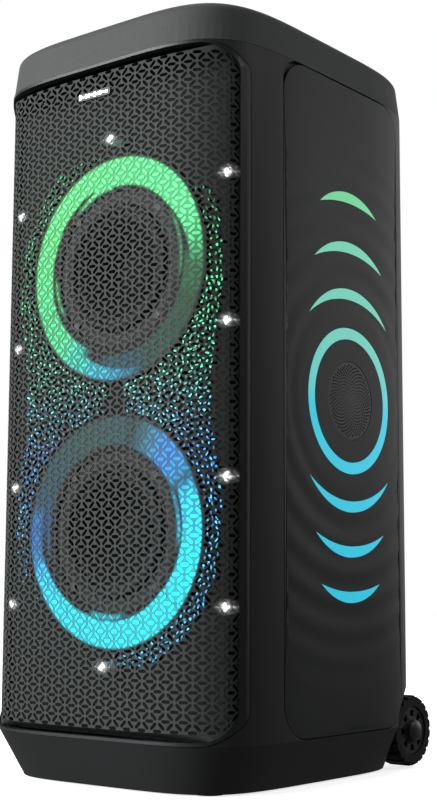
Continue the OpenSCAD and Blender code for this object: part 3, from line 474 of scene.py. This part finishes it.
def stroke(angle, r, start, end, inner, outer, level, fade):
    """Light of one arc stroke: inner and outer are (radius at start, radius at end)."""
    span = end - start
    t = ((angle - start) % 360) / span
    if t > 1:
        return 0.0
    r0 = inner[0] + (inner[1] - inner[0]) * t
    r1 = outer[0] + (outer[1] - outer[0]) * t
    body = (smooth(r0 - STROKE_SOFT, r0 + STROKE_SOFT, r)
            * (1 - smooth(r1 - STROKE_SOFT, r1 + STROKE_SOFT, r)))
    ends = smooth(0, fade[0], t) * (1 - smooth(1 - fade[1], 1, t))
    return level * body * ends


# Strokes: start and end in degrees, inner and outer radii in mm, level, shares that fade in and out
UPPER = [
    (-18, 40, (92, 80), (102, 104), 1.0, (0.85, 0.01)), (38, 112, (80, 77), (104, 104), 1.0, (0.02, 0.02)),
    (108, 150, (83, 84), (104, 104), 1.0, (0.06, 0.06)), (146, 206, (82, 83), (104, 104), 0.9, (0.06, 0.1)),
    (200, 250, (83, 80), (104, 104), 0.8, (0.1, 0.3)), (226, 300, (84, 101), (104, 104), 0.75, (0.25, 0.5)),
    (92, 137, (76, 76), (83, 77), 0.8, (0.1, 0.3)), (176, 214, (76, 75), (79, 77), 0.6, (0.4, 0.3)),
    (-18, 38, (76, 77), (79, 80), 0.28, (0.3, 0.3)), (255, 365, (82, 82), (104, 104), 0.13, (0.1, 0.05)),
]
LOWER = [
    (-176, -110, (92, 80), (104, 104), 0.95, (0.3, 0.02)),
    (-112, -40, (81, 79), (104, 104), 1.0, (0.03, 0.03)),
    (-42, 34, (80, 84), (104, 103), 1.0, (0.03, 0.25)),
    (22, 84, (78, 77), (104, 104), 0.62, (0.25, 0.5)),
    (70, 196, (79, 79), (104, 104), 0.18, (0.12, 0.2)), (-14, 32, (76, 76), (80, 79), 0.5, (0.3, 0.3)),
    (160, 198, (91, 91), (104, 104), 0.5, (0.3, 0.2)), (162, 200, (78, 80), (83, 82), 0.25, (0.3, 0.3)),
    (-112, -74, (75, 74), (80, 78), 0.55, (0.2, 0.4)),
]
# Colours at degrees round the ring
UPPER_RAMP = [(0, (95, 235, 150)), (50, (98, 255, 150)), (150, (100, 255, 140)), (222, (85, 240, 155)),
              (240, (60, 222, 195)), (256, (48, 195, 222)), (278, (46, 160, 200)), (300, (60, 150, 130)),
              (335, (80, 175, 120)), (346, (92, 225, 145)), (360, (95, 235, 150))]
LOWER_RAMP = [(-180, (50, 140, 235)), (-160, (45, 190, 255)), (-135, (38, 232, 255)), (-20, (34, 238, 255)),
              (15, (45, 210, 255)), (45, (60, 160, 250)), (75, (75, 160, 175)), (110, (80, 150, 145)),
              (150, (60, 140, 165)), (180, (50, 140, 235))]


RING_STEPS, RING_BANDS = 540, 34
GLOW_IN, GLOW_OUT = 73.0, 107.0
GLOW_LIFT = 0.3 * MM
STREAK = 0.07


def ring_glow(name, z, strokes, ramp, low):
    """Flat ring of light in front of a diffuser, with ramp's degrees counted from low."""
    verts, values = [], []
    for i in range(RING_STEPS):
        angle = 360 * i / RING_STEPS
        at = (angle - low) % 360 + low
        tone = linear(*along(ramp, at))
        a = math.radians(angle)
        for k in range(RING_BANDS + 1):
            r = GLOW_IN + (GLOW_OUT - GLOW_IN) * k / RING_BANDS
            light = max(stroke(angle, r, *s) for s in strokes)
            wave = math.sin(r * 2.1 + 1.7 * math.sin(a * 2)) * math.sin(a * 3 + r * 0.2)
            streak = 1 - STREAK + STREAK * wave
            verts.append((r * MM * math.cos(a), RING_FRONT - GLOW_LIFT, z * MM + r * MM * math.sin(a)))
            values.append((*[c * light * streak for c in tone], 1))
    faces = []
    for i in range(RING_STEPS):
        j = (i + 1) % RING_STEPS
        for k in range(RING_BANDS):
            a, b = i * (RING_BANDS + 1) + k, j * (RING_BANDS + 1) + k
            faces.append((a, a + 1, b + 1, b))
    obj = new_object(name, verts, faces, True)
    colours(obj, "light", values)
    return obj


CELL_SCALE, CELL_DETAIL, CELL_DEPTH = 420, 2, 0.14
UNLIT = (10, 12, 12)


def light_material(name, strength):
    """Emission from the piece's own colour layer, with the fine cells of the diffuser in it."""
    m = Mat(name, linear(*UNLIT), rough=0.55, spec=0.2, grain=0.1)
    layer = m.node("ShaderNodeVertexColor")
    layer.layer_name = "light"
    cells = m.noise(CELL_SCALE, CELL_DETAIL)
    span = m.node("ShaderNodeMapRange")
    span.inputs["To Min"].default_value = 1 - CELL_DEPTH
    span.inputs["To Max"].default_value = 1 + CELL_DEPTH
    m.link(cells, span.inputs["Value"])
    scaled = m.node("ShaderNodeVectorMath")
    scaled.operation = "SCALE"
    m.link(layer.outputs["Color"], scaled.inputs[0])
    m.link(span.outputs["Result"], scaled.inputs["Scale"])
    m.glow(scaled.outputs["Vector"], strength)
    return m


RING_LEVEL, FLECK_LEVEL = 2.0, 2.8
MAT["ring"] = light_material("ring_light", RING_LEVEL)
for name, z, strokes, ramp, low in (("ring_glow_upper", RING_Z[1], UPPER, UPPER_RAMP, 0),
                                    ("ring_glow_lower", RING_Z[0], LOWER, LOWER_RAMP, -180)):
    o = ring_glow(name, z, strokes, ramp, low)
    MAT["ring"].paint(o)
    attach(o, "cabinet")


# ---- Flecks of light round the rings ----

panel_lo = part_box("light_panel")[0]
MIDDLE = (RING_Z[0] + RING_Z[1]) / 2
# Sizes in mm. The field of flecks has a narrow waist, a bare middle and a band along each ring.
RING_CLEAR, BAND_WIDE = 4.5, 19
FIELD_HALF, FIELD_SPREAD, FIELD_TALL, FIELD_GAP = 112, 13, 105, 70
BARE_HALF, BARE_SPREAD = 12, 0.05
WAIST_TALL, WAIST_POWER = 95, 1.5
RIGHT_BAND, LEFT_BAND = 0.8, 0.75
# Where each band fades in above the lower ring's middle, and out above the upper ring's
RIGHT_IN, RIGHT_OUT = (-122, -108), (30, 62)
LEFT_IN, LEFT_OUT = (-70, 40), (88, 112)


def fleck_chance(x, z):
    """How densely the flecks stand at a place, 0 to 1."""
    gap = min(math.hypot(x, z - c) for c in RING_Z) - RING_OUT
    if gap < RING_CLEAR:
        return 0.0
    edge = FIELD_HALF + FIELD_SPREAD * min(1.0, (abs(z - MIDDLE) / WAIST_TALL) ** WAIST_POWER)
    if abs(x) > edge:
        return 0.0
    if abs(z - MIDDLE) < FIELD_TALL and gap < FIELD_GAP:
        return 0.0 if abs(x) < BARE_HALF + BARE_SPREAD * abs(z - MIDDLE) else 1.0
    if gap > BAND_WIDE:
        return 0.0
    band, rise, fall = (RIGHT_BAND, RIGHT_IN, RIGHT_OUT) if x > 0 else (LEFT_BAND, LEFT_IN, LEFT_OUT)
    low = smooth(RING_Z[0] + rise[0], RING_Z[0] + rise[1], z)
    high = 1 - smooth(RING_Z[1] + fall[0], RING_Z[1] + fall[1], z)
    return band * low * high


# Colours at heights from the middle between the rings
FLECK_RAMP = [(-140, (62, 175, 235)), (-50, (62, 150, 235)), (-15, (75, 180, 200)), (25, (80, 205, 165)),
              (90, (70, 200, 130)), (230, (60, 180, 110))]
FLECK_TRIES, FLECK_HALF, FLECK_BELOW, FLECK_ABOVE = 60000, 126, 125, 115
FLECK_APART, CELL = 4.6, 5
spots = []
grid = {}
for _ in range(FLECK_TRIES):
    x = rng.uniform(-FLECK_HALF, FLECK_HALF)
    z = rng.uniform(RING_Z[0] - FLECK_BELOW, RING_Z[1] + FLECK_ABOVE)
    if rng.random() > fleck_chance(x, z):
        continue
    key = (int(x // CELL), int(z // CELL))
    near = [grid.get((key[0] + i, key[1] + j)) for i in (-1, 0, 1) for j in (-1, 0, 1)]
    if any(q and math.hypot(q[0] - x, q[1] - z) < FLECK_APART for q in near):
        continue
    grid[key] = (x, z)
    spots.append((x, z))
# Near the middle the flecks lie along rays from it, elsewhere along the ring
RAYS_TALL, RAYS_WILD, RING_WILD = 45, 0.7, 0.45
FLECK_LONG, FLECK_WIDE, FLECK_BRIGHT, FLECK_CORNERS = (1.6, 2.8), (1.0, 1.6), (0.45, 1.15), (5, 6, 7)
FLECK_LIFT, FLECK_TIP = 0.2 * MM, 0.05 * MM
verts, faces, values = [], [], []
fleck_front, fleck_back = RING_FRONT - FLECK_LIFT, panel_lo.y
for x, z in spots:
    c = RING_Z[1] if z > MIDDLE else RING_Z[0]
    lie = math.atan2(z - c, x) + math.pi / 2 + rng.gauss(0, RING_WILD)
    if abs(z - MIDDLE) < RAYS_TALL:
        lie = math.atan2(z - MIDDLE, x) + rng.gauss(0, RAYS_WILD)
    length, wide = rng.uniform(*FLECK_LONG), rng.uniform(*FLECK_WIDE)
    tone = linear(*along(FLECK_RAMP, z - MIDDLE))
    level = rng.uniform(*FLECK_BRIGHT) * (0.5 + 0.5 * fleck_chance(x, z))
    count = rng.choice(FLECK_CORNERS)
    b = len(verts)
    # A lit tip, then a dark stem down to the board
    for deep, bright in ((fleck_front, level), (fleck_front + FLECK_TIP, 0.0), (fleck_back, 0.0)):
        for i in range(count):
            a = 2 * math.pi * i / count
            k = 0.82 + 0.3 * math.sin(i * 2.4 + x)
            px, pz = length * k * math.cos(a), wide * k * math.sin(a)
            verts.append(((x + px * math.cos(lie) - pz * math.sin(lie)) * MM, deep,
                          (z + px * math.sin(lie) + pz * math.cos(lie)) * MM))
            values.append((*[v * bright for v in tone], 1))
    faces.append(tuple(b + i for i in range(count)))
    for i in range(count):
        j = (i + 1) % count
        faces.append((b + count + j, b + count + i, b + 2 * count + i, b + 2 * count + j))
flecks = new_object("light_flecks", verts, faces)
colours(flecks, "light", values)
MAT["fleck"] = light_material("fleck_light", FLECK_LEVEL)
MAT["fleck"].paint(flecks)
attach(flecks, "cabinet")


# ---- Strobes: a star of light behind the grille at each lens ----

# Distance in metres within which a vertex belongs to the same lens
LENS_REACH = 0.012


def strobe_places():
    """Middle and front of each lens, from the CAD node's vertices."""
    co = np.array([v.co for v in NODES["strobe_lights"].data.vertices])
    found = []
    for p in co:
        for q in found:
            if math.hypot(q[0] - p[0], q[1] - p[2]) < LENS_REACH:
                break
        else:
            found.append((p[0], p[2]))
    out = []
    for q in found:
        near = co[np.hypot(co[:, 0] - q[0], co[:, 2] - q[1]) < LENS_REACH]
        lo, hi = near.min(axis=0), near.max(axis=0)
        out.append(((lo[0] + hi[0]) / 2, (lo[2] + hi[2]) / 2, lo[1]))
    return out


LENS_LEVEL, STAR_LEVEL = 0.05, 3.2
STAR_RINGS, STAR_SIDES, STAR_R = 14, 40, 13 * MM
# Share of a star's width that is its height, and how its rings crowd to the middle
STAR_TALL, STAR_CROWD = 0.6, 1.3
STAR_LIFT, STAR_BEHIND = 0.3 * MM, 3.4 * MM
lens_glow = MAT["lens"]
lens_glow.b.inputs["Emission Color"].default_value = WHITE
lens_glow.b.inputs["Emission Strength"].default_value = LENS_LEVEL


def star_light(w, h):
    """Cover of a star at w across and h up from its middle, in mm: core, halo and level flare."""
    core = math.exp(-(w * w / 8 + h * h / 3))
    halo = 0.1 * math.exp(-(w * w + h * h) / 36)
    flare = 0.4 * math.exp(-abs(w) / 5) * math.exp(-(h / 0.7) ** 2)
    return min(1.0, core + halo + flare)


verts, faces, values = [], [], []
for x, z, y in strobe_places():
    b = len(verts)
    for k in range(STAR_RINGS + 1):
        r = STAR_R * (k / STAR_RINGS) ** STAR_CROWD
        fade = 1 - smooth(0.8, 1, k / STAR_RINGS)
        for i in range(STAR_SIDES):
            a = 2 * math.pi * i / STAR_SIDES
            du, dz = r * math.cos(a), STAR_TALL * r * math.sin(a)
            px = max(-grille_hi.x, min(grille_hi.x, x + du))
            py = MID_Y - across(px, HALF_W - STAR_BEHIND, HALF_D - STAR_BEHIND)
            verts.append((px, max(y - STAR_LIFT, py), z + dz))
            values.append((1, 1, 1, star_light(du / MM, dz / MM) * fade))
    for k in range(STAR_RINGS):
        near, far = b + k * STAR_SIDES, b + (k + 1) * STAR_SIDES
        for i in range(STAR_SIDES):
            j = (i + 1) % STAR_SIDES
            faces.append((near + i, far + i, far + j, near + j))
stars = new_object("strobe_glow", verts, faces, True)
colours(stars, "light", values)
m = Mat("strobe_star", linear(240, 244, 246), rough=0.6, spec=0.0, grain=0.0)
layer = m.node("ShaderNodeVertexColor")
layer.layer_name = "light"
m.link(layer.outputs["Alpha"], m.b.inputs["Alpha"])
m.b.inputs["Emission Color"].default_value = WHITE
m.b.inputs["Emission Strength"].default_value = STAR_LEVEL
m.paint(stars)
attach(stars, "cabinet")


# ---- Side panels: ripples round the driver, lights let in ----

light_lo, light_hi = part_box("side_lights")
disc_lo, disc_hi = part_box("side_grilles")
DISC_R = (disc_hi.z - disc_lo.z) / 2 / MM
SIDE_Y = (disc_hi.y + disc_lo.y) / 2 / MM
SIDE_Z = (disc_hi.z + disc_lo.z) / 2 / MM
# Lit ring and crescents in mm: reach above and below the driver, half width, rise and thickness
RING_R, RING_W = 68.5, 10.5
REACH = ((106, 151, 199.5), (104, 145.5, 187))
HALF, RISE, THICK = (66, 57, 48), (31, 22, 17), 10
ARC_STEPS = 24
LIGHT_GAP, PANEL_T = 0.2, 3.4


def arc_r(half, rise):
    """Radius of an arc from its half width and rise."""
    return (half * half + rise * rise) / (2 * rise)


def circle(cy, cz, r, n):
    turns = [2 * math.pi * i / n for i in range(n)]
    return [(cy + r * math.cos(a), cz + r * math.sin(a)) for a in turns]


def crescent_loop(i, flip, grow):
    """Outline of one crescent, tips down, or up if flipped."""
    outer, inner = arc_r(HALF[i], RISE[i]) + grow, arc_r(HALF[i], RISE[i] - THICK) - grow
    reach = REACH[flip][i]
    co, ci = reach - arc_r(HALF[i], RISE[i]), reach - THICK - arc_r(HALF[i], RISE[i] - THICK)
    d = co - ci
    z = (outer ** 2 - inner ** 2 + ci * ci - co * co) / (-2 * d) if d else 0
    tip = math.sqrt(max(0.0, outer ** 2 - (z - co) ** 2))
    out = []
    a0 = math.atan2(z - co, tip)
    for k in range(ARC_STEPS + 1):
        a = a0 + (math.pi - 2 * a0) * k / ARC_STEPS
        out.append((outer * math.cos(a), co + outer * math.sin(a)))
    a1 = math.atan2(z - ci, tip)
    for k in range(1, ARC_STEPS):
        a = math.pi - a1 - (math.pi - 2 * a1) * k / ARC_STEPS
        out.append((inner * math.cos(a), ci + inner * math.sin(a)))
    s = -1 if flip else 1
    return [(SIDE_Y + s * y, SIDE_Z + s * z) for y, z in out]


RIPPLE_FROM, RIPPLE_PERIOD, RIPPLE_HALF = 78, 27, 0.25
RIPPLE_IN, RIPPLE_OUT = (80, 100), (190, 290)


def ripple(y, z):
    """Relief of the panel in metres, inwards, at a place in mm."""
    d = math.hypot(y - SIDE_Y, z - SIDE_Z)
    swell = smooth(*RIPPLE_IN, d) * (1 - smooth(*RIPPLE_OUT, d))
    wave = math.cos(2 * math.pi * (d - RIPPLE_FROM) / RIPPLE_PERIOD)
    return (RIPPLE_HALF - RIPPLE_HALF * wave) * MM * swell


def side_place(side, lift, relief):
    """Placing function for the side skin, lift metres inside the outline."""
    def place(y, z, deep):
        yy = y - MID_Y
        a, b = HALF_W - lift, HALF_D - lift
        x = across(yy, b, a)
        n = normal_at(x, yy, a, b)
        inn = deep + (ripple(y / MM, z / MM) if relief else 0)
        p = Vector((x, y, z)) - n * inn
        return Vector((side * p.x, p.y, p.z))
    return place


def sideways(p):
    return Vector((p.x, 0, 0))


PANEL_CORNER, CORNER_STEPS, PANEL_RIM, PANEL_STEP = 31, 12, 2, 3.4
SPLIT_ANGLE = math.radians(35)
# Holes of the disc: count, and the first few left out at its middle
HOLES, HOLE_FIRST, HOLE_SIDES, DISC_RIM, DISC_GAP, DISC_T = 400, 4, 8, 2.6, 0.4, 1.4
DISC_LIFT = 0.3 * MM
COLLAR_RINGS = (42, 46, 50, 54)
RING_SIDES, COLLAR_SIDES, BORE_SIDES, ROW_SIDES = 120, 96, 64, 60
GOLDEN = math.pi * (3 - math.sqrt(5))

for side, word in ((1, "right"), (-1, "left")):
    node = "side_panel_" + word
    lo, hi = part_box(node)
    y0, y1, z0, z1 = (v / MM for v in (lo.y, hi.y, lo.z, hi.z))
    border = rounded(y0, y1, z0, z1, PANEL_CORNER, CORNER_STEPS)
    holes = [circle(SIDE_Y, SIDE_Z, RING_R + LIGHT_GAP, RING_SIDES)]
    holes += [crescent_loop(i, flip, LIGHT_GAP) for i in range(3) for flip in (False, True)]
    keep = rounded(y0 + PANEL_RIM, y1 - PANEL_RIM, z0 + PANEL_RIM, z1 - PANEL_RIM,
                   PANEL_CORNER - 1, CORNER_STEPS)
    extra = []
    for i in range(int((y1 - y0) / PANEL_STEP) + 1):
        for j in range(int((z1 - z0) / PANEL_STEP) + 1):
            p = (y0 + i * PANEL_STEP + 0.5 * PANEL_STEP * (j % 2), z0 + j * PANEL_STEP)
            d = math.hypot(p[0] - SIDE_Y, p[1] - SIDE_Z)
            if d > RING_R + PANEL_RIM and inside(p, keep) and not any(inside(p, h) for h in holes):
                extra.append(p)
    outer_part = cut_sheet("side_skin_" + word, border, holes, extra, side_place(side, 0, True),
                           PANEL_T * MM, sideways)
    collar = cut_sheet("side_collar_" + word,
                       circle(SIDE_Y, SIDE_Z, RING_R - RING_W - LIGHT_GAP, COLLAR_SIDES),
                       [circle(SIDE_Y, SIDE_Z, DISC_R + DISC_GAP, BORE_SIDES)],
                       [q for r in COLLAR_RINGS for q in circle(SIDE_Y, SIDE_Z, r, ROW_SIDES)],
                       side_place(side, 0, False), PANEL_T * MM, sideways)
    for o in (outer_part, collar):
        MAT["side"].paint(o)
        for p in o.data.polygons:
            p.use_smooth = True
        o.modifiers.new("split", "EDGE_SPLIT").split_angle = SPLIT_ANGLE
        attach(o, "cabinet")
    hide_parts(node)

    # Perforated disc with holes on a sunflower spiral
    holes = []
    for k in range(HOLE_FIRST, HOLES):
        r = (DISC_R - DISC_RIM) * math.sqrt(k / HOLES)
        a = k * GOLDEN
        hole_r = 0.5 + 0.55 * r / DISC_R
        holes.append(circle(SIDE_Y + r * math.cos(a), SIDE_Z + r * math.sin(a), hole_r, HOLE_SIDES))
    disc = cut_sheet("side_disc_" + word, circle(SIDE_Y, SIDE_Z, DISC_R, COLLAR_SIDES), holes, [],
                     side_place(side, DISC_LIFT, False), DISC_T * MM, sideways)
    MAT["bezel"].paint(disc)
    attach(disc, "cabinet")
    if side == 1:
        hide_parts("side_grilles")

# Colours from the lowest crescent, 0, to the highest, 1
SIDE_LEVEL = 0.88
SIDE_RAMP = [(0.0, (28, 196, 226)), (0.46, (28, 200, 226)), (0.5, (85, 205, 205)), (0.62, (108, 206, 188)),
             (0.86, (110, 208, 175)), (1.0, (108, 214, 145))]
m = Mat("side_light", linear(60, 90, 90), rough=0.35, spec=0.3, grain=0.05)
split = m.node("ShaderNodeSeparateXYZ")
m.link(m.where, split.inputs["Vector"])
up = m.node("ShaderNodeMapRange")
up.inputs["From Min"].default_value = light_lo.z
up.inputs["From Max"].default_value = light_hi.z
m.link(split.outputs["Z"], up.inputs["Value"])
ramp = m.node("ShaderNodeValToRGB")
m.link(up.outputs["Result"], ramp.inputs["Fac"])
for k, (at, rgb) in enumerate(SIDE_RAMP):
    e = ramp.color_ramp.elements[k] if k < 2 else ramp.color_ramp.elements.new(at)
    e.position = at
    e.color = (*linear(*rgb), 1)
m.glow(ramp.outputs["Color"], SIDE_LEVEL)
m.paint(NODES["side_lights"])


# ---- Stage: floor, light, camera ----

scene = bpy.context.scene
scene.view_settings.view_transform = "Standard"

FLOOR_HALF, FLOOR_LEVEL = 12, 0.75
corners = [(FLOOR_HALF * x, FLOOR_HALF * y, 0) for x, y in ((-1, -1), (1, -1), (1, 1), (-1, 1))]
floor = new_object("floor", corners, [(0, 1, 2, 3)])
m = Mat("floor_paint", (0.9, 0.9, 0.9), rough=0.9, spec=0.0, tone=0.01, grain=0.0)
m.b.inputs["Emission Color"].default_value = WHITE
m.b.inputs["Emission Strength"].default_value = FLOOR_LEVEL
m.paint(floor)
floor.visible_glossy = False
floor.visible_diffuse = False

# Viewing angle of the photograph
YAW, PITCH_UP, ROLL = math.radians(38.52), math.radians(7.49), math.radians(0.27)
ahead = Vector((-math.sin(YAW) * math.cos(PITCH_UP), math.cos(YAW) * math.cos(PITCH_UP), math.sin(PITCH_UP)))

world = bpy.data.worlds.new("studio")
scene.world = world
world.use_nodes = True
wt = world.node_tree
back = wt.nodes["Background"]
where = wt.nodes.new("ShaderNodeTexCoord")


def world_part(axis, low, high):
    """0 to 1 as the direction turns towards axis."""
    dot = wt.nodes.new("ShaderNodeVectorMath")
    dot.operation = "DOT_PRODUCT"
    dot.inputs[1].default_value = axis
    wt.links.new(where.outputs["Generated"], dot.inputs[0])
    part = wt.nodes.new("ShaderNodeMapRange")
    part.inputs["From Min"].default_value = low
    part.inputs["From Max"].default_value = high
    wt.links.new(dot.outputs["Value"], part.inputs["Value"])
    return part.outputs["Result"]


# A white wall behind the object, dim all round it for light, and plain white to look at
AROUND = 0.13
WALL_EDGE, WALL_FULL, HORIZON = 0.3, 0.86, -0.08
both = wt.nodes.new("ShaderNodeMath")
both.operation = "MULTIPLY"
wt.links.new(world_part((ahead.x, ahead.y, 0), WALL_EDGE, WALL_FULL), both.inputs[0])
wt.links.new(world_part((0, 0, 1), HORIZON, 0.0), both.inputs[1])
level = wt.nodes.new("ShaderNodeMapRange")
level.inputs["To Min"].default_value = AROUND
wt.links.new(both.outputs["Value"], level.inputs["Value"])
seen = wt.nodes.new("ShaderNodeLightPath")
plain = wt.nodes.new("ShaderNodeMath")
plain.operation = "MAXIMUM"
wt.links.new(level.outputs["Result"], plain.inputs[0])
wt.links.new(seen.outputs["Is Camera Ray"], plain.inputs[1])
wt.links.new(plain.outputs["Value"], back.inputs["Strength"])
back.inputs["Color"].default_value = WHITE


def softbox(name, at, aim, size, power):
    light = bpy.data.lights.new(name, "AREA")
    light.shape = "RECTANGLE"
    light.size, light.size_y = size
    light.energy = power
    o = bpy.data.objects.new(name, light)
    o.location = at
    o.rotation_euler = (Vector(aim) - Vector(at)).to_track_quat("-Z", "Y").to_euler()
    scene.collection.objects.link(o)


softbox("key", (-1.6, -2.7, 1.2), (0, 0, 0.4), (1.6, 2.0), 170)
softbox("side", (1.9, 0.6, 1.9), (0.1, 0, 0.4), (1.0, 1.2), 9)
softbox("rim", (1.3, 2.3, 1.0), (0.1, 0, 0.4), (0.8, 1.4), 6)
softbox("top", (0, -0.2, 2.4), (0, 0, 0.6), (1.2, 1.2), 9)

LENS, SENSOR = 64.9, 36
EYE = (0.8869, -1.10595, 0.1721)
cam_data = bpy.data.cameras.new("camera")
cam_data.lens = LENS
cam_data.sensor_width = SENSOR
cam = bpy.data.objects.new("camera", cam_data)
cam.location = EYE
right = ahead.cross(Vector((0, 0, 1))).normalized()
top = right.cross(ahead)
turned = Matrix((right, top, -ahead)).transposed()
cam.rotation_mode = "QUATERNION"
cam.rotation_quaternion = (turned @ Matrix.Rotation(ROLL, 3, "Z")).to_quaternion()
scene.collection.objects.link(cam)
scene.camera = cam
